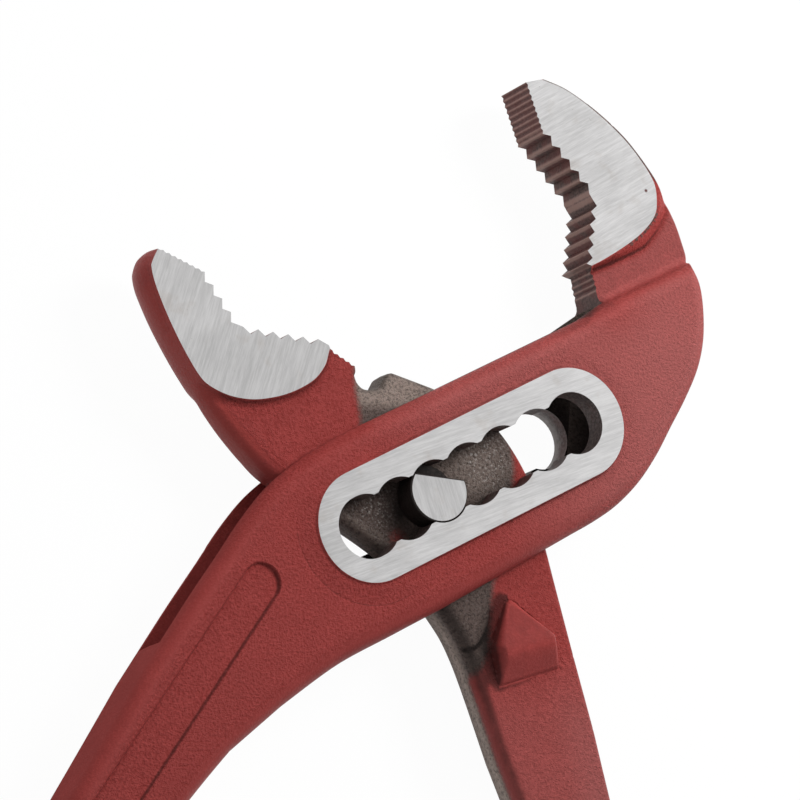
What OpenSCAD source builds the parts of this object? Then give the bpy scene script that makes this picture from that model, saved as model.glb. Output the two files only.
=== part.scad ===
// Water pump pliers with a box joint and a seven-notch slot, lying flat with the jaws open.
// Z is the pin axis, Z = 0 is the plane that the tool rests on, and Y runs towards the jaws.

/* [Box joint] */
// Thickness over the two ground slot lands
box_t = 16.2; // [15:0.1:18]
// Height of each slot land above the painted cheek
land_rise = 0.7; // [0.4:0.1:1.2]
// Width of the slot land
land_w = 18.4; // [16:0.1:20]
// Thickness of the inner arm's web between the cheeks
web_t = 6.8; // [6:0.1:7.6]
// Running gap on each side of the web
web_gap = 0.3; // [0.2:0.05:0.5]

/* [Slot] */
// Number of notches
notch_count = 7; // [5:1:7]
// Distance from notch to notch
notch_pitch = 7.1; // [6.6:0.1:7.4]
// Width of the necks between the notches
neck_w = 8.3; // [7.6:0.1:9]
// Extra length of the notch at the handle end
slot_runout = 0.5; // [0.1:0.1:1]

/* [Pivot pin] */
// Diameter of the pin
pin_d = 10.2; // [9.4:0.1:11]
// Radial gap between pin and notch
notch_fit = 0.08; // [0.03:0.01:0.1]
// Radial gap between pin and the inner arm's bore
bore_fit = 0.05; // [0.03:0.01:0.1]
// Distance from the pin axis to the flat on each end
pin_flat = 2.4; // [2:0.1:3]
// Direction of the flat, in degrees from X
pin_flat_angle = -4.5; // [-10:0.5:10]

/* [Jaws] */
// Thickness over the ground jaw faces
jaw_t = 8.6; // [8:0.1:10]
// Step from the ground face down to the painted jaw of the slotted arm
jaw_step = 0.7; // [0.3:0.1:1]
// Depth of the coarse pipe teeth
tooth_depth = 1; // [0.6:0.05:1.2]
// Depth of the fine teeth at the tips and roots
fine_depth = 0.25; // [0.15:0.05:0.5]

/* [Handles] */
// Length of the slotted arm's handle past its shoulder
slotted_len = 128; // [110:1:140]
// Length of the inner arm's handle past its shoulder
inner_len = 138; // [120:1:150]
// Width of both handles under the grips
handle_w = 14; // [12:0.5:16]
// Thickness of both handles under the grips
handle_t = 9; // [8:0.1:10]

/* [Closing stop] */
// Height of the wedge that stops the handles from closing on a finger
stop_h = 3.2; // [2:0.1:3.6]

/* [Handle panel] */
// Width of the sunk panel on the slotted handle
panel_w = 6.4; // [4:0.1:8]
// Length of the sunk panel between its end centres
panel_len = 52; // [30:1:56]
// Depth of the sunk panel
panel_depth = 0.5; // [0.2:0.1:1]

/* [Grips] */
// Length of each dipped grip
grip_len = 84; // [70:1:96]
// Wall of the grip at the sides of the handle
grip_wall = 2.4; // [1.5:0.1:3]
// Gap between grip and handle
grip_fit = 0.05; // [0.02:0.01:0.1]

/* [Hidden] */
$fn = 64;

paint_red = [0.60, 0.16, 0.15];
ground_steel = [0.74, 0.74, 0.75];
grip_red = [0.50, 0.05, 0.06];

// Levels across the thickness, all about the middle plane
mid_z = box_t / 2;
cheek_t = box_t - 2 * land_rise;
channel_t = web_t + 2 * web_gap;
notch_r = pin_d / 2 + notch_fit;
bore_r = pin_d / 2 + bore_fit;
// Overlap that lets cuts run clear of the faces they open
over = 1;

// Slot direction, and the notch that holds the pin at rest, counted from the handle end
slot_angle = 26;
rest_notch = 2;
slot_start = -rest_notch * notch_pitch;
slot_end = slot_start + (notch_count - 1) * notch_pitch;

// Slotted arm: throat between jaw and box, and edge from it over the box and down the back of the handle
throat = [34.2, 33.9];
box_top = [throat, [29, 30.5], [0, 16.5]];
box_heel = [[-12, 10.8], [-18, 7.7], [-23, 4.6], [-28.5, 0.3], [-33.2, -4.9], [-38, -11.3], [-43, -17.9],
            [-48, -24.8]];
// Slotted arm: edge from the handle back up the belly to the jaw step
box_belly = [[-28.4, -35.1], [-18.2, -28.2], [-8.2, -23.1], [1.6, -18.2]];
box_nose = [[26, -5.1], [30.1, -2.9], [34.4, -0.1], [38.7, 3.8], [42.4, 8.5], [45.5, 13.4], [48.6, 18.3],
            [51.3, 23.4], [52.8, 28.5], [53.2, 34], [52.7, 38.4], [51, 41.9]];
// Slotted jaw: back edge from the jaw step to the tip, then the corners of the toothed edge
jaw_back = [[50.8, 41.5], [51.7, 43], [51.1, 45.6], [50, 49], [48.5, 52], [46.3, 55.8], [43.3, 59.9],
            [40.1, 63.4], [35.3, 67.2], [30.3, 70.2], [26.1, 71.6]];
jaw_tip = [22.5, 70.7];
upper_bite = [[25.1, 62.1], [33.2, 52.6]];
lower_bite = [[33.7, 51.7], [31.9, 40.5]];
jaw_root = [[32.8, 40.2], [33.7, 36.2]];
// Corners of the slotted jaw that lie inside the box, where the two are one forging
jaw_neck = [[36, 30], [46, 36]];
// Lower border of the ground face on the slotted jaw, from the teeth to the back
jaw_ground = [[27, 37.4], [33, 40.3], [36, 41.9], [40, 44.4], [43, 46.7], [45, 49.2], [45.5, 51.6],
              [45, 54.8], [42.8, 58.6], [39.8, 62], [34.8, 66], [30, 69.3], [25.8, 71], [21, 72.3]];
// Point in the open mouth that closes the area of the ground face
jaw_mouth = [10, 66];
// Numbers of teeth along the four toothed edges, from the tip to the root
jaw_teeth = [9, 5, 5, 4];

// Channel through the box: the two walls that the inner arm swings clear of, out to corners past the box
channel_nose = [throat, [36.8, 31.4], [40.8, 26.2], [44.8, 21.6], [49.8, 17.6], [66, 4], [66, -60]];
channel_heel = [[-36.5, -48], [-36.5, -32], [-48.4, -25.4], [-66, -16], [-66, 33.4]];

// Inner arm: back edge from the tip down to the handle, and front edge up to the root of the jaw
arm_back = [[-46, 38], [-47.4, 36.8], [-48, 34.8], [-47.7, 32.4], [-46.9, 30.3], [-44.9, 25.9],
            [-41.9, 20.4], [-39.3, 16.3], [-36.7, 12.5], [-33.9, 9], [-30.7, 5.6], [-27.2, 2.3],
            [-20.7, -1.6], [-13.8, -5.3], [-7.6, -9.2], [-2.7, -13.3]];
arm_belly = [[1.4, -18.3], [3.9, -22], [5.6, -25.6], [6.9, -29.1], [8.3, -33.3]];
arm_front = [[25.8, -25.3], [23.4, -14.8], [21.8, -7.6], [20.5, -1.9], [18.9, 4.8], [14, 12.1], [8, 16.2],
             [2.2, 18.3]];
// Inner arm: lug that enters the box when the jaws close, and the notch behind it
arm_lug = [[-4.6, 20.3], [-5.6, 20], [-6.3, 19], [-7, 17.9], [-8.4, 17.3], [-10, 17.4], [-11, 18.3],
           [-11.4, 19.4]];
inner_root = [[-11.6, 20.9], [-16.5, 23.8]];
inner_lower_bite = [[-18.4, 24.7], [-31.6, 25.9]];
inner_upper_bite = [[-32.2, 26.1], [-37.9, 34.5]];
inner_tip = [-46, 38];
// Border of the ground face on the inner jaw, from the root round to the tip
arm_ground = [[-15.6, 25.4], [-16.6, 22.6], [-17.3, 20.6], [-19, 18.4], [-21.5, 16.7], [-25, 15.2],
              [-29, 14.3], [-32, 14.2], [-35, 14.7], [-38, 16], [-39.8, 17.7], [-42.2, 21.7],
              [-44.4, 26.2], [-46.2, 30.7], [-47.1, 34.1], [-46.8, 36], [-44, 41]];
// Point in the open mouth that closes the area of the ground face
inner_mouth = [-30, 44];
// Numbers of teeth along the four toothed edges, from the root to the tip
inner_teeth = [5, 5, 4, 8];
// Place of the valley in each tooth, as a share of its length
tooth_valley = 0.47;

// Handles: shoulder centre, width there, direction there and bend over the length, in degrees
slotted_shoulder = [-45, -36.6];
slotted_shoulder_w = 18.7;
slotted_dir = 231.5;
slotted_bend = 10.5;
slotted_axis = 235;
inner_shoulder = [19.9, -39.8];
inner_shoulder_w = 18.2;
inner_dir = 286;
inner_bend = -7;
inner_axis = 284;
// Length over which a handle narrows from its shoulder width to its grip width
narrowing = 48;
// Length over which a handle changes to its grip thickness, and how far that ends above its grip
thinning = 20;
thin_margin = 2;
// Angle between the points round the end of a handle
end_step = 15;

// Closing stop: outline along and across the inner handle, and the place of its ridge
stop_dir = 285.5;
stop_outline = [[19.4, 8.2], [19.4, 9.6], [26.6, 15], [32.4, 14.6], [32.7, 2.7], [26, 3.2]];
stop_heel = 18.4;
stop_ridge = 27.8;
stop_toe = 32.9;

// Sunk panel: centre of its upper end and its direction
panel_start = [-32, -16];
panel_dir = 233;

// Grips: squareness of the section, where 1 is an ellipse, and of the domed end across and through it
grip_square = 0.6;
dome_across = 0.8;
dome_through = 0.5;
// Rings along a grip, angle between its dome's rings and angle between the points of a ring
grip_rings = 9;
dome_step = 18;
ring_step = 20;
dome_last = 72;

// Prisms that give the arms their thickness along the handles: half length and reach from the pin
prism_half = 250;
prism_reach = [-200, 300];

// A point of a smooth curve between b and c, where a and d are the points around them
function curve_point(a, b, c, d, t) =
    0.5 * (2 * b + (c - a) * t + (2 * a - 5 * b + 4 * c - d) * t ^ 2 + (3 * b - a - 3 * c + d) * t ^ 3);

// Smooth curve through the points p, with n steps between two of them
function smooth(p, n = 4) = concat(
    [for (i = [0 : len(p) - 2], k = [0 : n - 1])
        curve_point(p[max(i - 1, 0)], p[i], p[i + 1], p[min(i + 2, len(p) - 1)], k / n)],
    [p[len(p) - 1]]);

// Row of n teeth from peak to peak along the edge, cut to the left of its direction
function teeth(edge, n, depth) =
    let (run = edge[1] - edge[0], left = [-run.y, run.x] / norm(run))
    concat([for (i = [0 : n - 1], k = [0, tooth_valley])
        edge[0] + run * (i + k) / n + (k == 0 ? [0, 0] : left * depth)], [edge[1]]);

// Centre of a bowed handle at the distance s from its shoulder
function bow_dir(a, bend, len, s) = a + bend * s / len;
function bow_point(c, a, bend, len, s) =
    let (r = len / (bend * PI / 180), b = bow_dir(a, bend, len, s))
    c + r * [sin(b) - sin(a), cos(a) - cos(b)];
function bow_side(a) = [sin(a), -cos(a)];

// Half width of a handle at the distance s from its shoulder
function half_width(shoulder_w, s) =
    handle_w / 2 + (shoulder_w - handle_w) / 2 * max(0, 1 - s / narrowing) ^ 2;

// Points along one side of a handle, grown by fit, from its shoulder to its round end
function handle_side(c, a, bend, len, shoulder_w, side, fit, steps = 12) =
    [for (i = [0 : steps - 1])
        let (s = (len - handle_w / 2) * i / steps)
        bow_point(c, a, bend, len, s)
            + side * (half_width(shoulder_w, s) + fit) * bow_side(bow_dir(a, bend, len, s))];

// Outline of a handle, grown by fit: down one side, round its end and up the other side
function handle_outline(c, a, bend, len, shoulder_w, fit = 0) =
    let (run = len - handle_w / 2)
    let (last = bow_dir(a, bend, len, run), tip = bow_point(c, a, bend, len, run))
    let (back = handle_side(c, a, bend, len, shoulder_w, -1, fit))
    concat(
        handle_side(c, a, bend, len, shoulder_w, 1, fit),
        [for (t = [0 : end_step : 180]) tip + (handle_w / 2 + fit) * bow_side(last + t)],
        [for (i = [len(back) - 1 : -1 : 0]) back[i]]);

function slotted_handle(fit = 0) =
    handle_outline(slotted_shoulder, slotted_dir, slotted_bend, slotted_len, slotted_shoulder_w, fit);
function inner_handle(fit = 0) =
    handle_outline(inner_shoulder, inner_dir, inner_bend, inner_len, inner_shoulder_w, fit);

// Distances along a handle between which it changes to its grip thickness, just above the grip
function thin_range(shoulder, a, len) =
    let (end = shoulder.x * cos(a) + shoulder.y * sin(a) + len - grip_len - thin_margin)
    [end - thinning, end];

box_outline = concat(
    box_top, smooth(box_heel), slotted_handle(), smooth(box_belly), smooth(box_nose));

jaw_outline = concat(
    [jaw_neck[1]], smooth(jaw_back), [jaw_tip],
    teeth([jaw_tip, upper_bite[0]], jaw_teeth[0], fine_depth),
    teeth(upper_bite, jaw_teeth[1], tooth_depth),
    teeth(lower_bite, jaw_teeth[2], tooth_depth),
    teeth(jaw_root, jaw_teeth[3], fine_depth), [throat, jaw_neck[0]]);

arm_outline = concat(
    smooth(arm_back), smooth(arm_belly), inner_handle(), smooth(arm_front), smooth(arm_lug),
    teeth(inner_root, inner_teeth[0], fine_depth),
    teeth(inner_lower_bite, inner_teeth[1], tooth_depth),
    teeth(inner_upper_bite, inner_teeth[2], tooth_depth),
    teeth([inner_upper_bite[1], inner_tip], inner_teeth[3], fine_depth));

// Solid of thickness t about the middle plane
module slab(t) {
    translate([0, 0, mid_z - t / 2])
        linear_extrude(height = t) children();
}

// Long prism whose section is drawn along the direction a and across the thickness
module along(a, section) {
    translate([0, 0, mid_z])
        rotate([0, 0, a])
            rotate([90, 0, 0])
                linear_extrude(height = 2 * prism_half, center = true) polygon(section);
}

// Section that changes from one half thickness to another between two distances from the pin
function step_section(near, far, at) = [
    [prism_reach[0], -near], [at[0], -near], [at[1], -far], [prism_reach[1], -far],
    [prism_reach[1], far], [at[1], far], [at[0], near], [prism_reach[0], near]];

// Round-ended bar from one distance to another along the direction of the slot
module slot_bar(from, to, r, t) {
    rotate([0, 0, slot_angle]) translate([0, 0, mid_z - t / 2]) {
        translate([from, 0, 0]) cylinder(r = r, h = t);
        translate([to, 0, 0]) cylinder(r = r, h = t);
        translate([from, -r, 0]) cube([to - from, 2 * r, t]);
    }
}

module notched_slot() {
    t = box_t + 2 * over;
    rotate([0, 0, slot_angle]) translate([0, 0, mid_z - t / 2]) {
        for (i = [0 : notch_count - 1])
            translate([slot_start + i * notch_pitch, 0, 0]) cylinder(r = notch_r, h = t);
        translate([slot_start, -neck_w / 2, 0]) cube([slot_end - slot_start, neck_w, t]);
    }
    slot_bar(slot_start - slot_runout, slot_start, notch_r, t);
}

// Round-ended bar that sinks the panel into both faces of the handle
module panel_cut() {
    for (z = [land_rise - over, box_t - land_rise - panel_depth])
        translate([panel_start.x, panel_start.y, z])
            rotate([0, 0, panel_dir]) {
                cylinder(d = panel_w, h = panel_depth + over);
                translate([panel_len, 0, 0]) cylinder(d = panel_w, h = panel_depth + over);
                translate([0, -panel_w / 2, 0]) cube([panel_len, panel_w, panel_depth + over]);
            }
}

module slotted_blank() {
    intersection() {
        slab(cheek_t) polygon(box_outline);
        along(slotted_axis, step_section(
            cheek_t / 2, handle_t / 2, thin_range(slotted_shoulder, slotted_axis, slotted_len)));
    }
    slab(jaw_t - 2 * jaw_step) polygon(jaw_outline);
    slab(jaw_t) intersection() {
        polygon(jaw_outline);
        polygon(concat(smooth(jaw_ground), [jaw_mouth]));
    }
    slot_bar(slot_start, slot_end, land_w / 2, box_t);
}

module slotted_arm() {
    color(paint_red) difference() {
        slotted_blank();
        slab(channel_t) polygon(concat(channel_nose, channel_heel));
        notched_slot();
        panel_cut();
    }
}

// Wedge on the front of the inner handle that meets the box's belly as the handles close
module closing_stop() {
    face = mid_z + web_t / 2;
    intersection() {
        translate([0, 0, face - over])
            rotate([0, 0, stop_dir])
                linear_extrude(height = stop_h + 2 * over) polygon(stop_outline);
        translate([0, 0, web_t / 2])
            along(stop_dir, [
                [stop_heel, -over], [stop_heel, 0], [stop_ridge, stop_h], [stop_toe, 0], [stop_toe, -over]]);
    }
}

module inner_blank() {
    intersection() {
        slab(max(web_t, handle_t)) polygon(arm_outline);
        along(inner_axis, step_section(
            web_t / 2, handle_t / 2, thin_range(inner_shoulder, inner_axis, inner_len)));
    }
    slab(jaw_t) intersection() {
        polygon(arm_outline);
        polygon(concat(smooth(arm_ground), [inner_mouth]));
    }
    closing_stop();
}

module inner_arm() {
    color(paint_red) difference() {
        inner_blank();
        translate([0, 0, -over]) cylinder(r = bore_r, h = box_t + 2 * over);
    }
}

module pivot_pin() {
    end_t = (box_t - channel_t) / 2;
    color(ground_steel) difference() {
        cylinder(d = pin_d, h = box_t);
        for (z = [-over, box_t - end_t])
            rotate([0, 0, pin_flat_angle])
                translate([-pin_d, pin_flat, z]) cube([2 * pin_d, pin_d, end_t + over]);
    }
}

// Part of a half width at the given sine or cosine, on a section with squared-off sides
function squared(v) = sign(v) * abs(v) ^ grip_square;

// Ring of points round a grip at the distance s from the shoulder, with rounded sides
function grip_ring(c, a, bend, len, s, half_w, half_t) =
    let (p = bow_point(c, a, bend, len, s), side = bow_side(bow_dir(a, bend, len, s)))
    [for (t = [0 : ring_step : 360 - ring_step])
        let (u = squared(cos(t)) * half_w, v = squared(sin(t)) * half_t)
        [p.x + side.x * u, p.y + side.y * u, mid_z + v]];

// Closed skin over rings that all have the same number of points
module skin(rings) {
    n = len(rings[0]);
    m = len(rings);
    polyhedron(
        points = [for (r = rings) each r],
        faces = concat(
            [[for (i = [0 : n - 1]) i]],
            [for (j = [0 : m - 2], i = [0 : n - 1]) let (k = (i + 1) % n)
                [j * n + i, (j + 1) * n + i, j * n + k]],
            [for (j = [0 : m - 2], i = [0 : n - 1]) let (k = (i + 1) % n)
                [j * n + k, (j + 1) * n + i, (j + 1) * n + k]],
            [[for (i = [n - 1 : -1 : 0]) (m - 1) * n + i]]),
        convexity = 4);
}

// Dipped grip: a rounded sleeve with a domed end that fits over the end of a handle
module grip(c, a, bend, len) {
    full_w = handle_w / 2 + grip_wall;
    full_t = handle_t / 2 + grip_wall;
    start = len - grip_len;
    dome = full_w;
    straight = grip_len + grip_wall - dome;
    color(grip_red) difference() {
        skin(concat(
            [for (i = [0 : grip_rings])
                grip_ring(c, a, bend, len, start + straight * i / grip_rings, full_w, full_t)],
            [for (t = [dome_step : dome_step : dome_last])
                grip_ring(c, a, bend, len, start + straight + dome * sin(t),
                    full_w * cos(t) ^ dome_across, full_t * cos(t) ^ dome_through)]));
        slab(handle_t + 2 * grip_fit) children();
    }
}

module slotted_grip() {
    grip(slotted_shoulder, slotted_dir, slotted_bend, slotted_len) polygon(slotted_handle(grip_fit));
}

module inner_grip() {
    grip(inner_shoulder, inner_dir, inner_bend, inner_len) polygon(inner_handle(grip_fit));
}

slotted_arm();
inner_arm();
pivot_pin();
slotted_grip();
inner_grip();
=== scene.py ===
"""Red water pump pliers: two forged arms with ground faces, a pivot pin and two dipped grips.

Each arm is a relief, a height above and below its middle plane over a flat outline.  The heights are
worked out with numpy from the distances to the arm's own edges, so that rounded edges, fillets, ground
lands and the sunk panel are all part of one closed surface.  Lengths are in millimetres until a mesh is
made, and in metres after that.
"""
import logging
import math
from dataclasses import dataclass, field
from enum import Enum
from typing import Optional, Sequence, Union

import bpy
import numpy as np
from mathutils import Matrix, Vector
from mathutils.geometry import delaunay_2d_cdt


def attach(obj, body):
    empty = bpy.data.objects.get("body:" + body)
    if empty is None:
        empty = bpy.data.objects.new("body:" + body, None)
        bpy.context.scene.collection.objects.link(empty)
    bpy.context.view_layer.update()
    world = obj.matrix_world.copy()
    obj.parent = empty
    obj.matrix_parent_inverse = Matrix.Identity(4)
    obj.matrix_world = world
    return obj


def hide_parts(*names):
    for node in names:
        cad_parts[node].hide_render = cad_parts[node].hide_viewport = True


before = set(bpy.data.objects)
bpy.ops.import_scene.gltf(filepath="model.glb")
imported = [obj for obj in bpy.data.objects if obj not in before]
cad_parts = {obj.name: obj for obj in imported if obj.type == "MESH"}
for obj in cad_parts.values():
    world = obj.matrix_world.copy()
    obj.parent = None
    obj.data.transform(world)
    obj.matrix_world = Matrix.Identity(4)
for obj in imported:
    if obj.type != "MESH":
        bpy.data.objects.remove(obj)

LOG = logging.getLogger("pliers")
MM = 0.001
Array = np.ndarray
Points = Sequence[Sequence[float]]
Colour = tuple[float, float, float, float]
Mesh, Object, Material = bpy.types.Mesh, bpy.types.Object, bpy.types.Material
NodeTree, Socket = bpy.types.NodeTree, bpy.types.NodeSocket
WHITE: Colour = (1, 1, 1, 1)

# Levels across the thickness, about the middle plane
MID_Z = 8.1
LAND_H = 8.1
CHEEK_H = 7.4
CHANNEL_H = 3.7
WEB_H = 3.4
JAW_H = 4.3
HANDLE_H = 4.5
# The slot: its direction, its first and last notch, and the step from notch to notch
SLOT_TURN = 26.0
SLOT_FIRST = -14.2
SLOT_LAST = 28.4
NOTCH_STEP = 7.1
NOTCH_R = 5.18
SLOT_RUNOUT = 0.5
NECK_HALF = 4.15
# A point this close to a line counts as on it
ON_LINE = 0.05
# Pairs of a point and a stretch of line that are measured at once
BATCH = 3_000_000


class Face(Enum):
    """The finish of a face, in the order of an arm's material slots."""

    PAINT = 0
    GROUND = 1
    TOOTH = 2
    BORE = 3
    LAND = 4


# Plane curves

def direction(degrees: float) -> Array:
    """Unit vector of a direction in the plane."""
    return np.array([math.cos(math.radians(degrees)), math.sin(math.radians(degrees))])


def turned(points: Array, degrees: float) -> Array:
    """Points turned about the origin."""
    c, s = direction(degrees)
    return points @ np.array([[c, s], [-s, c]])


def smooth_curve(points: Points, steps: int = 10) -> Array:
    """Curve through points: between two of them, a cubic whose ends lean along their neighbours.

    Args:
        points: the points to pass through.
        steps: straight steps between two points.

    Returns:
        The curve's points, first and last included.
    """
    p = np.asarray(points, float)
    i = np.arange(len(p) - 1)
    a, b, c, d = (p[np.clip(i + k, 0, len(p) - 1)][:, None] for k in (-1, 0, 1, 2))
    t = (np.arange(steps) / steps)[None, :, None]
    curve = 0.5 * (2 * b + (c - a) * t + (2 * a - 5 * b + 4 * c - d) * t ** 2 + (3 * b - a - 3 * c + d) * t ** 3)
    return np.concatenate([curve.reshape(-1, 2), p[-1:]])


def tooth_row(start: Sequence[float], end: Sequence[float], count: int, depth: float) -> Array:
    """Row of teeth: peaks spaced evenly on a line, and valleys cut to its left just before mid-tooth.

    Args:
        start: the first peak.
        end: the last peak.
        count: the number of teeth.
        depth: the depth of a valley.

    Returns:
        Peaks and valleys in turn.
    """
    start, run = np.asarray(start, float), np.subtract(end, start)
    left = np.array([-run[1], run[0]]) / np.hypot(*run)
    i = np.arange(count)[:, None]
    peaks = start + run * i / count
    valleys = start + run * (i + 0.47) / count + left * depth
    return np.concatenate([np.stack([peaks, valleys], 1).reshape(-1, 2), [start + run]])


def crest_share(points: Array, teeth: Sequence[Array], reach: float = 1.0) -> Array:
    """Share from 0, at reach away, to nearly 1 at the nearest peak, for points beside rows of teeth."""
    peaks = np.concatenate([row[::2] for row in teeth])
    return ease(reach, 0.1, np.sqrt(((points[:, None] - peaks) ** 2).sum(2).min(1)))


def densify(line: Array, step: float, closed: bool = True) -> Array:
    """Line with each stretch cut evenly, so that none is longer than step; its own points stay.

    Args:
        line: the points of a line or loop.
        step: the longest stretch.
        closed: whether the line is a loop.

    Returns:
        The finer line.
    """
    run = (np.roll(line, -1, 0) - line) if closed else np.diff(line, axis=0)
    cuts = np.maximum(1, np.ceil(np.hypot(*run.T) / step).astype(int))
    which = np.repeat(np.arange(len(run)), cuts)
    share = (np.arange(cuts.sum()) - np.repeat(np.cumsum(cuts) - cuts, cuts)) / cuts[which]
    fine = line[which] + run[which] * share[:, None]
    return fine if closed else np.concatenate([fine, line[-1:]])


def tidy_loop(*parts: Array) -> Array:
    """One loop from its parts in order, without points that repeat their neighbour."""
    loop = np.concatenate(parts)
    return loop[np.hypot(*(loop - np.roll(loop, 1, 0)).T) > 1e-4]


def batches(points: Array, line: Array) -> list[Array]:
    """Points in groups that are small enough to be measured against a whole line at once."""
    return np.array_split(points, 1 + len(points) * len(line) // BATCH)


def distance(points: Array, line: Array, closed: bool = False) -> Array:
    """Distance from each point to the nearest stretch of a line.

    Args:
        points: the points to measure from.
        line: the line or loop.
        closed: whether the line is a loop.

    Returns:
        One distance for each point.
    """
    a, b = (line, np.roll(line, -1, 0)) if closed else (line[:-1], line[1:])
    run = b - a
    size = np.maximum((run ** 2).sum(1), 1e-12)

    def nearest(part: Array) -> Array:
        """Distances of one group of points."""
        off = part[:, None] - a
        share = np.clip((off * run).sum(2) / size, 0, 1)
        return np.sqrt(((off - share[..., None] * run) ** 2).sum(2).min(1))

    return np.concatenate([nearest(part) for part in batches(points, a)])


def inside(points: Array, loop: Array) -> Array:
    """Whether each point lies in a loop: a ray to the right crosses it an odd number of times."""
    a, b = loop, np.roll(loop, -1, 0)
    rise = np.where(b[:, 1] == a[:, 1], 1.0, b[:, 1] - a[:, 1])

    def odd(part: Array) -> Array:
        """Whether the crossings of one group of points are odd."""
        x, y = part[:, :1], part[:, 1:]
        spans = (a[:, 1] > y) != (b[:, 1] > y)
        return (spans & (x < a[:, 0] + (b - a)[:, 0] * (y - a[:, 1]) / rise)).sum(1) % 2 == 1

    return np.concatenate([odd(part) for part in batches(points, a)])


def depth_in(points: Array, loop: Array) -> Array:
    """Distance to a loop, positive inside it and negative outside."""
    return np.where(inside(points, loop), 1.0, -1.0) * distance(points, loop, True)


def within_edge(line: Array, outline: Array) -> Array:
    """The stretch of an open line, finely cut, that lies in an outline and off its edge."""
    line = densify(line, 0.6, False)
    return line[depth_in(line, outline) > ON_LINE]


def ease(low: float, high: float, x: Array) -> Array:
    """Share from 0 at low to 1 at high, level at both ends."""
    t = np.clip((x - low) / (high - low), 0, 1)
    return t * t * (3 - 2 * t)


def bump(x: Array, centre: float, width: float) -> Array:
    """Bell of height 1 at centre that has fallen to a third at width."""
    return np.exp(-((x - centre) / width) ** 2)


def spot(points: Array, centre: Sequence[float], spread: float) -> Array:
    """Bell of height 1 at a point, which falls with the square of the distance over spread."""
    return np.exp(-((points - np.asarray(centre)) ** 2).sum(1) / spread)


def rounding(depth: Array, radius: Union[float, Array], crease: float = 0.0, fall: float = 2.5) -> Array:
    """Drop of a face near its edge: a quarter circle over the radius, and a steep fall beyond the edge.

    Args:
        depth: distance inside the edge.
        radius: radius of the rounded edge.
        crease: slope with which the rounding leaves the flat.
        fall: slope past the edge.

    Returns:
        Heights from 0, on the flat, down to minus the radius at the edge and below.
    """
    over = radius - np.clip(depth, 0, radius)
    arc = np.sqrt(np.maximum(radius ** 2 - over ** 2, 0)) - radius
    return arc - crease * over + fall * np.minimum(depth, 0)


def higher(a: Array, b: Array, blend: float) -> Array:
    """The greater of two heights, with a fillet where they are closer than blend."""
    near = np.maximum(blend - np.abs(a - b), 0) / blend
    return np.maximum(a, b) + near ** 2 * blend / 4


def stadium(start: float, end: float, radius: float, turn: float, centre: Sequence[float] = (0, 0)) -> Array:
    """Round-ended bar: half circles about two centres on a line through centre, turned by degrees."""
    a = np.radians(np.linspace(-90, 90, 33))
    arc = np.stack([np.cos(a), np.sin(a)], 1) * radius
    return turned(np.concatenate([arc + [end, 0], -arc + [start, 0]]), turn) + np.asarray(centre, float)


def notched_slot() -> Array:
    """Slot outline: seven circles joined by a narrower bar, with the first one drawn out at the handle end."""
    reach = math.asin(NECK_HALF / NOTCH_R)
    side = np.linspace(math.pi - reach, reach, 13)
    centres = np.arange(SLOT_FIRST, SLOT_LAST + 1, NOTCH_STEP)[:, None]
    upper = np.stack([centres + NOTCH_R * np.cos(side), 0 * centres + NOTCH_R * np.sin(side)], 2)
    a = np.linspace(-reach, reach, 13)[1:-1]
    end = NOTCH_R * np.stack([np.cos(a), np.sin(a)], 1)
    top, bottom = upper[::-1, ::-1].reshape(-1, 2), (upper * [1, -1]).reshape(-1, 2)
    loop = np.concatenate([bottom, end + [SLOT_LAST, 0], top, -end + [SLOT_FIRST, 0]])
    loop[:, 0] -= SLOT_RUNOUT * (loop[:, 0] < SLOT_FIRST + 1e-6)
    return tidy_loop(turned(loop, SLOT_TURN))


@dataclass(frozen=True)
class Handle:
    """A bowed handle that narrows from its shoulder to the width under its grip."""

    shoulder: tuple[float, float]
    shoulder_w: float
    heading: float
    bend: float
    length: float
    axis: float
    grip_w: float = 14.0
    narrowing: float = 48.0
    grip_len: float = 84.0
    thinning: float = 20.0

    def heading_at(self, s: Array) -> Array:
        """Direction at the distance s from the shoulder, in radians."""
        return np.radians(self.heading + self.bend * s / self.length)

    def centre(self, s: Array) -> Array:
        """Points of the middle line, a circular arc that starts at the shoulder."""
        radius = self.length / math.radians(self.bend)
        a, b = math.radians(self.heading), self.heading_at(s)
        arc = np.stack([np.sin(b) - math.sin(a), math.cos(a) - np.cos(b)], -1)
        return np.asarray(self.shoulder) + radius * arc

    def side(self, s: Array) -> Array:
        """Unit vectors to the right of the middle line."""
        b = self.heading_at(s)
        return np.stack([np.sin(b), -np.cos(b)], -1)

    def half_width(self, s: Array) -> Array:
        """Half the width, which falls with the square of what is left of the narrowing stretch."""
        grip = self.grip_w / 2
        return grip + (self.shoulder_w / 2 - grip) * np.maximum(0, 1 - s / self.narrowing) ** 2

    def outline(self) -> Array:
        """Right side down, half circle round the end, and left side up."""
        run = self.length - self.grip_w / 2
        s = np.linspace(0, run, 60, endpoint=False)
        out = self.half_width(s)[:, None] * self.side(s)
        b = self.heading_at(np.array(run)) + np.radians(np.arange(0, 181, 7.5))
        end = self.centre(np.array(run)) + self.grip_w / 2 * np.stack([np.sin(b), -np.cos(b)], -1)
        return np.concatenate([self.centre(s) + out, end, (self.centre(s) - out)[::-1]])

    def thinned(self, points: Array) -> Array:
        """Share from 0 to 1 of the change to the thickness under the grip, along the handle's axis."""
        toward = direction(self.axis)
        end = float(np.dot(self.shoulder, toward)) + self.length - self.grip_len - 2
        return np.clip((points @ toward - end + self.thinning) / self.thinning, 0, 1)


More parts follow.
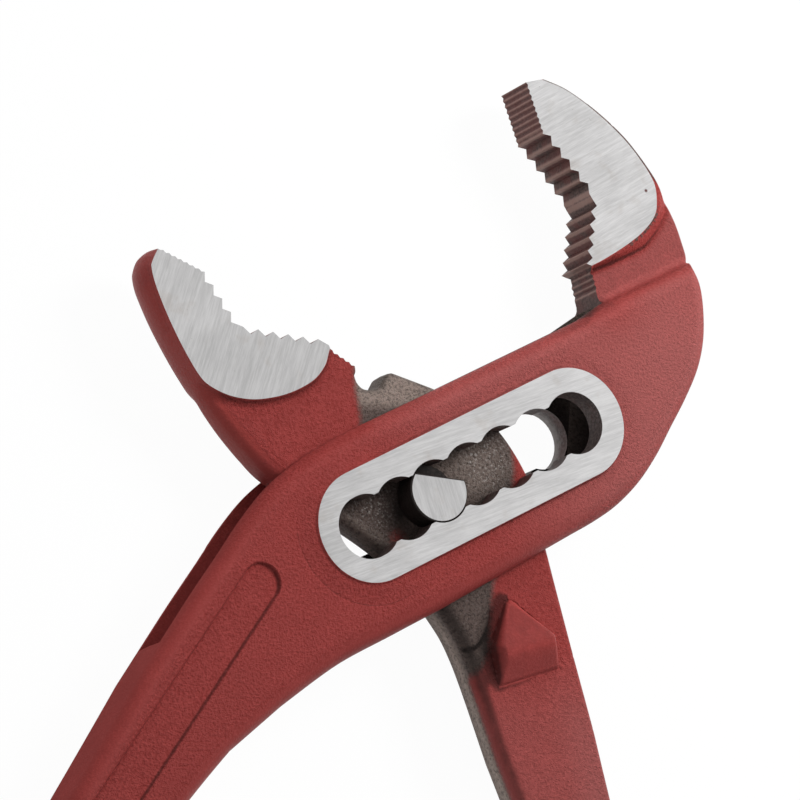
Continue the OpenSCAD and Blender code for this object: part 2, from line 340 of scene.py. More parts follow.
SLOTTED_HANDLE = Handle((-45, -36.6), 18.7, 231.5, 10.5, 128, 235)
INNER_HANDLE = Handle((19.9, -39.8), 18.2, 286, -7, 138, 284)


# Closed surfaces over a plan

@dataclass
class Plan:
    """Flat triangles over an outline, finer beside its edges and lines."""

    outline: Array
    holes: list[Array]
    lines: list[tuple[Array, bool]]
    rows: list[tuple[Array, bool, Sequence[float]]]
    fill: float = 0.9
    points: Array = field(default_factory=lambda: np.zeros((0, 2)))
    triangles: Array = field(default_factory=lambda: np.zeros((0, 3), int))

    def fixed(self) -> list[tuple[Array, bool]]:
        """The outline, the holes and the lines, each with whether it is a loop."""
        return [(self.outline, True)] + [(hole, True) for hole in self.holes] + self.lines

    def within(self, points: Array) -> Array:
        """Whether each point is in the outline and in none of the holes."""
        keep = inside(points, self.outline)
        for hole in self.holes:
            keep &= ~inside(points, hole)
        return keep

    def beside(self, line: Array, closed: bool, offsets: Sequence[float]) -> Array:
        """Rows of points parallel to a line: each point moved along the line's left normal.

        Args:
            line: the line or loop.
            closed: whether it is a loop.
            offsets: distances to the left, negative to the right.

        Returns:
            The points that are as far from the line as their row is.
        """
        ahead = np.roll(line, -1, 0) - np.roll(line, 1, 0)
        if not closed:
            ahead[0], ahead[-1] = line[1] - line[0], line[-1] - line[-2]
        left = np.stack([-ahead[:, 1], ahead[:, 0]], 1) / np.hypot(*ahead.T)[:, None]
        rows = (line[None] + left[None] * np.asarray(offsets, float)[:, None, None]).reshape(-1, 2)
        want = np.repeat(np.abs(offsets), len(line))
        rows = rows[distance(rows, line, closed) > 0.97 * want]
        for other, shut in self.fixed():
            if other is not line:
                rows = rows[distance(rows, other, shut) > 0.3]
        return rows[self.within(rows)]

    def lay(self) -> None:
        """Fills points and triangles: a constrained Delaunay mesh of the edges, rows and a hexagonal fill."""
        fixed = self.fixed()
        start, edges = 0, []
        for line, closed in fixed:
            i = np.arange(start, start + len(line))
            pairs = np.stack([i, np.roll(i, -1)], 1)
            edges.append(pairs if closed else pairs[:-1])
            start += len(line)
        free = [self.beside(line, closed, offsets) for line, closed, offsets in self.rows]
        low, high = self.outline.min(0), self.outline.max(0)
        x, y = np.meshgrid(np.arange(low[0], high[0], self.fill), np.arange(low[1], high[1], self.fill * 0.87))
        x = x + (np.arange(len(x)) % 2)[:, None] * self.fill / 2
        grid = np.stack([x.ravel(), y.ravel()], 1)
        grid = grid[self.within(grid)]
        near, cell = np.concatenate(free + [line for line, _ in fixed]), 0.6 * self.fill
        cells = {tuple(c) for c in np.floor(near / cell).astype(int).tolist()}
        taken = [tuple(c) in cells for c in np.floor(grid / cell).astype(int).tolist()]
        every = np.concatenate([line for line, _ in fixed] + free + [grid[~np.array(taken)]])
        found = delaunay_2d_cdt([Vector(p) for p in every.tolist()], np.concatenate(edges).tolist(), [], 0, 1e-5)
        self.points = np.array([tuple(v) for v in found[0]])
        tris = np.array(found[2])
        a, b, c = (self.points[tris[:, k]] for k in range(3))
        area = (b - a)[:, 0] * (c - a)[:, 1] - (b - a)[:, 1] * (c - a)[:, 0]
        tris[area < 0] = tris[area < 0][:, ::-1]
        self.triangles = tris[self.within((a + b + c) / 3) & (np.abs(area) > 1e-9)]

    def rim(self) -> Array:
        """Edges that have a triangle on their left only, as pairs of points."""
        t, n = self.triangles, len(self.points)
        sides = np.concatenate([t[:, [0, 1]], t[:, [1, 2]], t[:, [2, 0]]])
        return sides[~np.isin(sides @ [n, 1], sides @ [1, n])]

    def middles(self) -> Array:
        """Middle of each triangle."""
        return self.points[self.triangles].mean(1)


def new_mesh(name: str, verts: Array, faces: list[list[int]]) -> Mesh:
    """A mesh in metres from vertices in millimetres."""
    mesh = bpy.data.meshes.new(name)
    mesh.from_pydata((verts * MM).tolist(), [], faces)
    mesh.update()
    return mesh


def forged(plan: Plan, front: Array, back: Array, swell: float, finish: Array, teeth: Array, hole: Array,
           name: str) -> Mesh:
    """Closed mesh: the plan lifted by front and dropped by back, with a wall round its rims.

    The wall runs straight from the front edge to the back edge, by way of a line on the middle plane that
    stands out by swell, as the parting line of a forging does, but not at the teeth and the hole.

    Args:
        plan: the flat triangles.
        front: height of each point above the middle plane.
        back: depth of each point below it.
        swell: how far the wall stands out on the middle plane.
        finish: finish of each triangle, in front and behind.
        teeth: the line of the teeth.
        hole: the loop of the slot or bore.
        name: the mesh's name.

    Returns:
        The mesh, with its faces outwards and their finishes as material indices.
    """
    points, rim, n = plan.points, plan.rim(), len(plan.points)
    edges = points[rim].mean(1)
    wall = np.zeros(len(rim), int)
    wall[distance(edges, teeth) < ON_LINE] = Face.TOOTH.value
    wall[distance(edges, hole, True) < ON_LINE] = Face.BORE.value
    cut = np.minimum(distance(points, teeth), distance(points, hole, True)) <= 2 * ON_LINE
    run = points[rim[:, 1]] - points[rim[:, 0]]
    normal = np.stack([run[:, 1], -run[:, 0]], 1) / np.hypot(*run.T)[:, None]
    out = np.zeros((n, 2))
    for end in rim.T:
        np.add.at(out, end, normal)
    out *= (np.where(cut, 0.0, swell) / np.maximum(np.hypot(*out.T), 1e-9))[:, None]
    verts = np.concatenate([np.column_stack([points, MID_Z + front]), np.column_stack([points, MID_Z - back]),
                            np.column_stack([points + out, MID_Z + (front - back) / 2])])
    i, j = rim.T
    quads = np.concatenate([np.stack([i, i + 2 * n, j + 2 * n, j], 1),
                            np.stack([i + 2 * n, i + n, j + n, j + 2 * n], 1)])
    tris = np.concatenate([plan.triangles, plan.triangles[:, ::-1] + n])
    used, flat = np.unique(np.concatenate([tris.ravel(), quads.ravel()]), return_inverse=True)
    flat = flat.ravel()
    faces = flat[:tris.size].reshape(-1, 3).tolist() + flat[tris.size:].reshape(-1, 4).tolist()
    mesh = new_mesh(name, verts[used], faces)
    slots = np.concatenate([finish, finish, wall, wall]).astype(np.int32)
    mesh.polygons.foreach_set("material_index", slots)
    return mesh


def rings_mesh(rings: Array, name: str) -> Mesh:
    """Closed skin over rings of equal length, with a flat cap on the first and last ring.

    Args:
        rings: array of ring, point and coordinate, in millimetres.
        name: the mesh's name.

    Returns:
        The mesh, in metres.
    """
    m, n, _ = rings.shape
    i = np.arange(n)
    j, row = np.roll(i, -1), (np.arange(m - 1) * n)[:, None]
    quads = np.stack([row + i, row + j, row + n + j, row + n + i], 2).reshape(-1, 4)
    caps = [i[::-1].tolist(), (i + (m - 1) * n).tolist()]
    return new_mesh(name, rings.reshape(-1, 3), quads.tolist() + caps)


def add_object(name: str, data: bpy.types.ID) -> Object:
    """A new object in the scene."""
    item = bpy.data.objects.new(name, data)
    bpy.context.scene.collection.objects.link(item)
    return item


def set_materials(mesh: Mesh, materials: Sequence[Material]) -> None:
    """Gives a mesh these materials and leaves each face in its slot."""
    finish = np.zeros(len(mesh.polygons), np.int32)
    mesh.polygons.foreach_get("material_index", finish)
    mesh.materials.clear()
    for material in materials:
        mesh.materials.append(material)
    mesh.polygons.foreach_set("material_index", finish)


def carve(mesh: Mesh, cutter: Mesh, finish: Face) -> Mesh:
    """The mesh with the cutter's space taken out; the new faces get the given finish.

    Args:
        mesh: a closed mesh.
        cutter: a closed mesh to take out of it.
        finish: finish of the cut faces.

    Returns:
        A new mesh.
    """
    for part in (mesh, cutter):
        set_materials(part, [bpy.data.materials.get(slot.name) or bpy.data.materials.new(slot.name)
                             for slot in Face])
    cutter.polygons.foreach_set("material_index", np.full(len(cutter.polygons), finish.value, np.int32))
    body, tool = add_object("carved", mesh), add_object("cutter", cutter)
    cut = body.modifiers.new("cut", "BOOLEAN")
    cut.object, cut.operation, cut.solver = tool, "DIFFERENCE", "EXACT"
    done = bpy.data.meshes.new_from_object(body.evaluated_get(bpy.context.evaluated_depsgraph_get()))
    for part in (body, tool):
        bpy.data.objects.remove(part)
    return done


def place(mesh: Mesh, name: str, materials: Sequence[Material], node: str, body: str,
          angle: float = 32.0) -> Object:
    """Puts a finished mesh in the scene in place of a node, shaded smooth below an angle.

    Args:
        mesh: the mesh, in metres.
        name: the piece's name.
        materials: the materials of its slots.
        node: the node that it stands for.
        body: the body that it rides on.
        angle: greatest angle between two faces that shade as one, in degrees.

    Returns:
        The new object.
    """
    mesh.name = name
    set_materials(mesh, materials)
    mesh.polygons.foreach_set("use_smooth", np.ones(len(mesh.polygons), bool))
    mesh.set_sharp_from_angle(angle=math.radians(angle))
    piece = add_object(name, mesh)
    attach(piece, body)
    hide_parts(node)
    LOG.info("%s: %d faces on %s", name, len(mesh.polygons), body)
    return piece


def coordinates(mesh: Mesh) -> Array:
    """A mesh's vertices, in millimetres."""
    flat = np.zeros(len(mesh.vertices) * 3, np.float32)
    mesh.vertices.foreach_get("co", flat)
    return flat.reshape(-1, 3).astype(float) / MM


def store(mesh: Mesh, **shares: Array) -> None:
    """Keeps a number from 0 to 1 for each vertex in each named attribute."""
    for name, values in shares.items():
        layer = mesh.attributes.new(name, "FLOAT", "POINT")
        layer.data.foreach_set("value", np.clip(values, 0, 1).astype(np.float32))


# Finishes

@dataclass
class Nodes:
    """A shader node tree, with short ways to add the nodes that the finishes are made of."""

    tree: NodeTree

    def put(self, socket: Socket, value: object) -> None:
        """Links a socket to another socket, or sets its own value."""
        if isinstance(value, Socket):
            self.tree.links.new(value, socket)
        else:
            socket.default_value = value

    def add(self, kind: str, inputs: Optional[dict] = None, **settings: object) -> bpy.types.Node:
        """Adds a shader node.

        Args:
            kind: the node's type, without its ShaderNode prefix.
            inputs: values or sockets for its inputs, by name or number.
            settings: the node's own properties.

        Returns:
            The node.
        """
        node = self.tree.nodes.new("ShaderNode" + kind)
        for name, value in settings.items():
            setattr(node, name, value)
        for name, value in (inputs or {}).items():
            self.put(node.inputs[name], value)
        return node

    def maths(self, operation: str, *values: object) -> Socket:
        """Result of a Math node on one to three values or sockets."""
        return self.add("Math", dict(enumerate(values)), operation=operation).outputs[0]

    def times(self, a: object, b: object) -> Socket:
        """Product of two values."""
        return self.maths("MULTIPLY", a, b)

    def plus(self, a: object, b: object, c: object) -> Socket:
        """Product of a and b, with c added to it."""
        return self.maths("MULTIPLY_ADD", a, b, c)

    def most(self, a: object, b: object) -> Socket:
        """The greater of two values."""
        return self.maths("MAXIMUM", a, b)

    def mix(self, share: object, low: object, high: object) -> Socket:
        """Colour that goes from low to high with the share."""
        return self.add("Mix", {0: share, 6: low, 7: high}, data_type="RGBA").outputs[2]

    def ramp(self, value: object, low: float, high: float, to_low: float = 0.0, to_high: float = 1.0) -> Socket:
        """Value carried from one range to another, clamped and eased."""
        ends = {0: value, 1: low, 2: high, 3: to_low, 4: to_high}
        return self.add("MapRange", ends, interpolation_type="SMOOTHSTEP").outputs[0]

    def attribute(self, name: str) -> Socket:
        """A number stored on the mesh."""
        return self.add("Attribute", attribute_name=name).outputs["Fac"]

    def millimetres(self) -> Socket:
        """Object coordinates in millimetres."""
        where = self.add("TexCoord").outputs["Object"]
        return self.add("VectorMath", {0: where, 1: (1 / MM,) * 3}, operation="MULTIPLY").outputs[0]

    def noise(self, where: Socket, scale: object, detail: float, rough: float) -> Socket:
        """Soft noise of one value at a scale in waves per millimetre."""
        return self.add("TexNoise", {"Vector": where, "Scale": scale, "Detail": detail,
                                     "Roughness": rough}).outputs["Fac"]

    def bump(self, height: Socket, depth: float, strength: float) -> Socket:
        """Normal of a height, with its depth in millimetres."""
        return self.add("Bump", {"Height": height, "Distance": depth * MM, "Strength": strength}).outputs["Normal"]

    def use(self, group: NodeTree, **values: object) -> bpy.types.bpy_prop_collection:
        """Outputs of a shared group that is placed here with its own values."""
        node = self.add("Group", node_tree=group)
        for name, value in values.items():
            self.put(node.inputs[name], value)
        return node.outputs

    def shader(self, **sockets: object) -> None:
        """Sets or links the Principled shader's sockets, named with _ for a space."""
        for key, value in sockets.items():
            self.put(self.tree.nodes["Principled BSDF"].inputs[key.replace("_", " ")], value)

    def show(self, share: object, low: bpy.types.Node, high: bpy.types.Node, out: bpy.types.Node) -> None:
        """Sends a mix of two shaders to the tree's output."""
        mixed = self.add("MixShader", {0: share, 1: low.outputs[0], 2: high.outputs[0]})
        self.put(out.inputs["Surface"], mixed.outputs[0])


def open_group(name: str, **inputs: float) -> tuple[Nodes, dict[str, Socket]]:
    """A shader node group with number inputs of these defaults: its nodes, and its inputs inside it."""
    tree = bpy.data.node_groups.new(name, "ShaderNodeTree")
    for key, value in inputs.items():
        tree.interface.new_socket(key, in_out="INPUT", socket_type="NodeSocketFloat").default_value = value
    inner = tree.nodes.new("NodeGroupInput")
    return Nodes(tree), {key: inner.outputs[key] for key in inputs}


def close_group(nodes: Nodes, **outputs: Socket) -> NodeTree:
    """The group of these nodes, with number outputs."""
    for key in outputs:
        nodes.tree.interface.new_socket(key, in_out="OUTPUT", socket_type="NodeSocketFloat")
    outer = nodes.tree.nodes.new("NodeGroupOutput")
    for key, value in outputs.items():
        nodes.put(outer.inputs[key], value)
    return nodes.tree


def grain_group() -> NodeTree:
    """Pebbled grain of a sprayed coat: two noises, one over the other, as a height and a broad tone."""
    nodes, given = open_group("coat grain", Size=1.0, Broad=20.0)
    where, scale = nodes.millimetres(), nodes.maths("DIVIDE", 1.0, given["Size"])
    coarse = nodes.noise(where, scale, 3.0, 0.6)
    fine = nodes.noise(where, nodes.times(scale, 2.7), 2.0, 0.6)
    broad = nodes.noise(where, nodes.maths("DIVIDE", 1.0, given["Broad"]), 3.0, 0.6)
    return close_group(nodes, Height=nodes.plus(fine, 0.5, coarse), Tone=broad)


def wear_group() -> NodeTree:
    """Edge wear: a mask along edges, eaten into by a noise so that its border is ragged."""
    nodes, given = open_group("edge wear", Edge=0.0, Size=1.0, Ragged=0.4)
    spots = nodes.noise(nodes.millimetres(), nodes.maths("DIVIDE", 1.0, given["Size"]), 4.0, 0.65)
    shift = nodes.times(nodes.maths("SUBTRACT", spots, 0.5), given["Ragged"])
    return close_group(nodes, Mask=nodes.ramp(nodes.plus(shift, 2.0, given["Edge"]), 0.3, 0.8))


def brushed_group() -> NodeTree:
    """Grinding lines: noise drawn out along a direction in the plane, in two finenesses, and broad clouds."""
    nodes, given = open_group("grinding lines", Turn=0.0, Spacing=0.3)
    where = nodes.millimetres()
    level = nodes.add("VectorRotate", {"Vector": where, "Axis": (0, 0, 1), "Angle": given["Turn"]},
                      rotation_type="AXIS_ANGLE").outputs[0]
    drawn = nodes.add("VectorMath", {0: level, 1: (0.06, 1.0, 1.0)}, operation="MULTIPLY").outputs[0]
    scale = nodes.maths("DIVIDE", 1.0, given["Spacing"])
    coarse = nodes.noise(drawn, scale, 4.0, 0.7)
    fine = nodes.noise(drawn, nodes.times(scale, 3.1), 3.0, 0.7)
    lines = nodes.times(nodes.plus(fine, 0.6, coarse), 0.625)
    return close_group(nodes, Lines=lines, Clouds=nodes.noise(where, 0.12, 2.0, 0.5))


def speckle_group() -> NodeTree:
    """Scale on forged steel: a pitted height, a mask of small bright grains, and a broad tone."""
    nodes, given = open_group("forge scale", Size=0.5)
    where, scale = nodes.millimetres(), nodes.maths("DIVIDE", 1.0, given["Size"])
    grains = nodes.noise(where, nodes.times(scale, 1.3), 2.0, 0.6)
    return close_group(nodes, Height=nodes.noise(where, scale, 4.0, 0.7), Glint=nodes.ramp(grains, 0.5, 0.74),
                       Tone=nodes.noise(where, 0.22, 3.0, 0.6))


class Effects:
    """The shared shader groups, each built once."""

    def __init__(self) -> None:
        """Builds the groups."""
        self.grain, self.wear = grain_group(), wear_group()
        self.brushed, self.speckle = brushed_group(), speckle_group()


def new_material(name: str) -> tuple[Material, Nodes]:
    """A material with one Principled shader, and its nodes."""
    material = bpy.data.materials.new(name)
    material.use_nodes = True
    return material, Nodes(material.node_tree)


@dataclass(frozen=True)
class RedPaint:
    """Satin red coat with a pebbled grain, thin on edges, a painted sheen of pale haze and painted shade in hollows,
    over steel.
    """

    red: Colour = (0.364, 0.051, 0.046, 1)
    deep: Colour = (0.252, 0.034, 0.030, 1)
    thin: Colour = (0.40, 0.055, 0.046, 1)
    # Pale colour of the painted sheen
    painted_sheen: Colour = (0.80, 0.72, 0.70, 1)
    # Dark red of the painted shade in hollows, creases and on faces turned from the light
    shade_colour: Colour = (0.045, 0.010, 0.009, 1)
    steel: Colour = (0.152, 0.112, 0.099, 1)
    pale_steel: Colour = (0.375, 0.300, 0.260, 1)
    dark_steel: Colour = (0.014, 0.010, 0.009, 1)
    # Colour of the painted glints on bare steel
    glint: Colour = (0.55, 0.50, 0.47, 1)
    roughness: float = 0.53

    def make(self, effects: Effects) -> Material:
        """Builds the material."""
        material, nodes = new_material("satin red coat")
        grain, sleek = nodes.use(effects.grain, Size=0.47, Broad=5.0), nodes.attribute("sleek")
        pebble = nodes.most(nodes.ramp(grain["Height"], 0.52, 0.92), nodes.times(sleek, 0.62))
        colour = nodes.mix(pebble, self.deep, self.red)
        colour = nodes.mix(nodes.ramp(grain["Tone"], 0.3, 0.7, 0.0, 0.34), colour, self.deep)
        worn = nodes.use(effects.wear, Edge=nodes.attribute("wear"), Size=1.3, Ragged=0.4)["Mask"]
        colour = nodes.mix(nodes.times(worn, 0.5), colour, self.thin)
        # Painted sheen: pale haze where the mesh says, and a faint one on the tops of the grain
        sheen_share = nodes.plus(pebble, 0.012, nodes.times(nodes.attribute("painted_sheen"), 0.08))
        colour = nodes.mix(sheen_share, colour, self.painted_sheen)
        # Painted shade: the coat darkens towards dark red where the mesh says
        painted_shade = nodes.use(effects.wear, Edge=nodes.attribute("shade_share"), Size=2.0, Ragged=0.12)["Mask"]
        colour = nodes.mix(nodes.times(painted_shade, 0.85), colour, self.shade_colour)
        bare = nodes.use(effects.wear, Edge=nodes.attribute("bare"), Size=0.5, Ragged=0.22)["Mask"]
        steel, height = self.bare_steel(nodes, effects)
        rough = nodes.plus(bare, 0.06, nodes.plus(pebble, -0.06, self.roughness))
        coat = nodes.times(grain["Height"], nodes.plus(sleek, -0.75, 1.0))
        lift = nodes.plus(nodes.times(height, 1.2), bare, coat)
        nodes.shader(Base_Color=nodes.mix(bare, colour, steel), Metallic=nodes.times(bare, 0.45),
                     Roughness=nodes.plus(nodes.attribute("matt"), 0.45, rough),
                     Normal=nodes.bump(lift, 0.38, 1.0), Specular_IOR_Level=0.18)
        return material

    def bare_steel(self, nodes: Nodes, effects: Effects) -> tuple[Socket, Socket]:
        """Colour and height of the forged steel that the coat leaves bare.

        Args:
            nodes: the material's nodes.
            effects: the shared groups.

        Returns:
            The colour, paler where the mesh says so (in places a painted highlight), with painted glints and painted
            shade that darkens it in hollows, and the height.
        """
        scale = nodes.use(effects.speckle, Size=0.55)
        # Pale steel where the mesh says: the wall's and the lug's own colour, and painted light at the channel's
        # throat, on the web and along the inner arm's rear edge
        colour = nodes.mix(nodes.attribute("pale"), self.steel, self.pale_steel)
        colour = nodes.mix(nodes.ramp(scale["Height"], 0.34, 0.56, 0.6, 0.0), colour, self.dark_steel)
        # Painted glints: bright grains of the scale, most where the mesh's shine says
        shine = nodes.plus(nodes.attribute("shine"), 0.8, 0.12)
        colour = nodes.mix(nodes.times(scale["Glint"], shine), colour, self.glint)
        # Painted shade: bare steel darkens where the mesh says
        shade = nodes.times(nodes.attribute("shade_share"), 0.95)
        return nodes.mix(shade, colour, self.dark_steel), scale["Height"]


@dataclass(frozen=True)
class GroundSteel:
    """Bare steel ground flat: fine lines in one direction, small pits, faint stains and maybe a speck of coat.

    Given a share per millimetre, it gets paler towards +X by that share for each millimetre: painted light, brighter
    towards +X.
    """

    name: str
    turn: float
    # Brightness of this steel, set per face: painted shade makes it lower on the faces away from the light on the
    # right
    tone: float
    speck: Optional[tuple[float, float, float]] = None
    light_slope: float = 0.0
    pale: Colour = (0.68, 0.672, 0.672, 1)
    dull: Colour = (0.48, 0.474, 0.474, 1)
    speck_red: Colour = (0.10, 0.025, 0.022, 1)
    stain: Colour = (0.36, 0.30, 0.25, 1)
    pit: Colour = (0.16, 0.14, 0.13, 1)

    def make(self, effects: Effects) -> Material:
        """Builds the material."""
        material, nodes = new_material(self.name)
        lines = nodes.use(effects.brushed, Turn=-math.radians(self.turn), Spacing=0.42)
        streak, cloud = nodes.ramp(lines["Lines"], 0.34, 0.66), nodes.ramp(lines["Clouds"], 0.3, 0.7)
        share = nodes.plus(cloud, 0.3, nodes.times(streak, 0.7))
        if self.light_slope:
            # Painted light: paler towards +X
            x = nodes.add("SeparateXYZ", {0: nodes.millimetres()}).outputs["X"]
            share = nodes.plus(x, self.light_slope, share)
        dull, pale = (tuple(self.tone * c for c in tint[:3]) + (1,) for tint in (self.dull, self.pale))
        scale = nodes.use(effects.speckle, Size=1.6)
        stains = nodes.ramp(scale["Tone"], 0.56, 0.74, 0.0, 0.22)
        colour = nodes.mix(stains, nodes.mix(share, dull, pale), self.stain)
        colour = nodes.mix(nodes.ramp(scale["Height"], 0.29, 0.24, 0.0, 0.6), colour, self.pit)
        if self.speck:
            away = nodes.add("VectorMath", {0: nodes.millimetres(), 1: self.speck}, operation="DISTANCE")
            colour = nodes.mix(nodes.ramp(away.outputs["Value"], 0.5, 0.3), colour, self.speck_red)
        nodes.shader(Base_Color=colour, Roughness=nodes.plus(streak, -0.1, 0.5), Metallic=0.7,
                     Normal=nodes.bump(lines["Lines"], 0.03, 0.6), Specular_IOR_Level=0.5)
        return material


@dataclass(frozen=True)
class ScaledSteel:
    """Uncoated forged or broached steel, dark and pitted, with a film of overspray and rubbed crests; on the slot's
    wall the crest colour is painted bounce light.
    """

    name: str
    dark: Colour
    light: Colour
    spray: Colour
    spray_share: float
    crest: Colour

    def make(self, effects: Effects) -> Material:
        """Builds the material."""
        material, nodes = new_material(self.name)
        scale = nodes.use(effects.speckle, Size=0.5)
        colour = nodes.mix(nodes.ramp(scale["Height"], 0.35, 0.7), self.dark, self.light)
        film = nodes.ramp(scale["Tone"], 0.4, 0.62, 0.0, self.spray_share)
        colour = nodes.mix(nodes.most(film, nodes.attribute("film")), colour, self.spray)
        # Crest colour: rubbed tooth crests, and painted bounce light on the slot's wall
        rubbed = nodes.use(effects.wear, Edge=nodes.attribute("crest"), Size=0.8, Ragged=0.25)["Mask"]
        colour = nodes.mix(nodes.times(rubbed, 0.8), colour, self.crest)
        nodes.shader(Base_Color=colour, Roughness=nodes.plus(scale["Tone"], 0.2, 0.45), Metallic=0.3,
                     Normal=nodes.bump(scale["Height"], 0.12, 0.7), Specular_IOR_Level=0.4)
        return material


@dataclass(frozen=True)
class DippedVinyl:
    """Soft dipped coat of the grips: deep red, slightly mottled, with a fine skin."""

    red: Colour = (0.19, 0.012, 0.014, 1)
    pale: Colour = (0.25, 0.022, 0.024, 1)

    def make(self, effects: Effects) -> Material:
        """Builds the material."""
        material, nodes = new_material("dipped vinyl")
        grain = nodes.use(effects.grain, Size=0.5, Broad=9.0)
        tone = nodes.ramp(grain["Tone"], 0.3, 0.7)
        rubbed = nodes.use(effects.wear, Edge=nodes.attribute("wear"), Size=2.2, Ragged=0.5)["Mask"]
        colour = nodes.mix(nodes.times(rubbed, 0.4), nodes.mix(tone, self.red, self.pale), self.pale)
        nodes.shader(Base_Color=colour, Roughness=nodes.plus(tone, 0.12, 0.36),
                     Normal=nodes.bump(grain["Height"], 0.05, 0.5), Specular_IOR_Level=0.5)
        return material


class Finishes:
    """The materials of all the pieces."""

    def __init__(self) -> None:
        """Makes each material once."""
        effects = Effects()
        self.paint = RedPaint().make(effects)
        self.slotted_jaw = GroundSteel("ground slotted jaw steel", 30.0, 0.98, (44.1, 53.8, 12.7)).make(effects)
        self.inner_jaw = GroundSteel("ground inner jaw steel", 70.0, 0.87).make(effects)
        self.land = GroundSteel("ground land steel", 20.0, 0.94, light_slope=0.009).make(effects)
        self.pin = GroundSteel("ground pin steel", 105.0, 0.86).make(effects)
        self.tooth = ScaledSteel("tooth steel", (0.040, 0.022, 0.019, 1), (0.13, 0.075, 0.066, 1),
                                 (0.16, 0.035, 0.03, 1), 0.5, (0.37, 0.225, 0.19, 1)).make(effects)
        self.bore = ScaledSteel("scaled bore steel", (0.03, 0.024, 0.022, 1), (0.16, 0.125, 0.115, 1),
                                (0.12, 0.025, 0.022, 1), 0.35, (0.46, 0.43, 0.42, 1)).make(effects)
        # Near-black steel on the pin's side, which paints in the shade on it
        self.shank = ScaledSteel("shade-dark pin steel", (0.008, 0.006, 0.005, 1), (0.03, 0.022, 0.02, 1),
                                 (0.02, 0.008, 0.007, 1), 0.3, (0.2, 0.17, 0.16, 1)).make(effects)
        self.vinyl = DippedVinyl().make(effects)


# The pieces

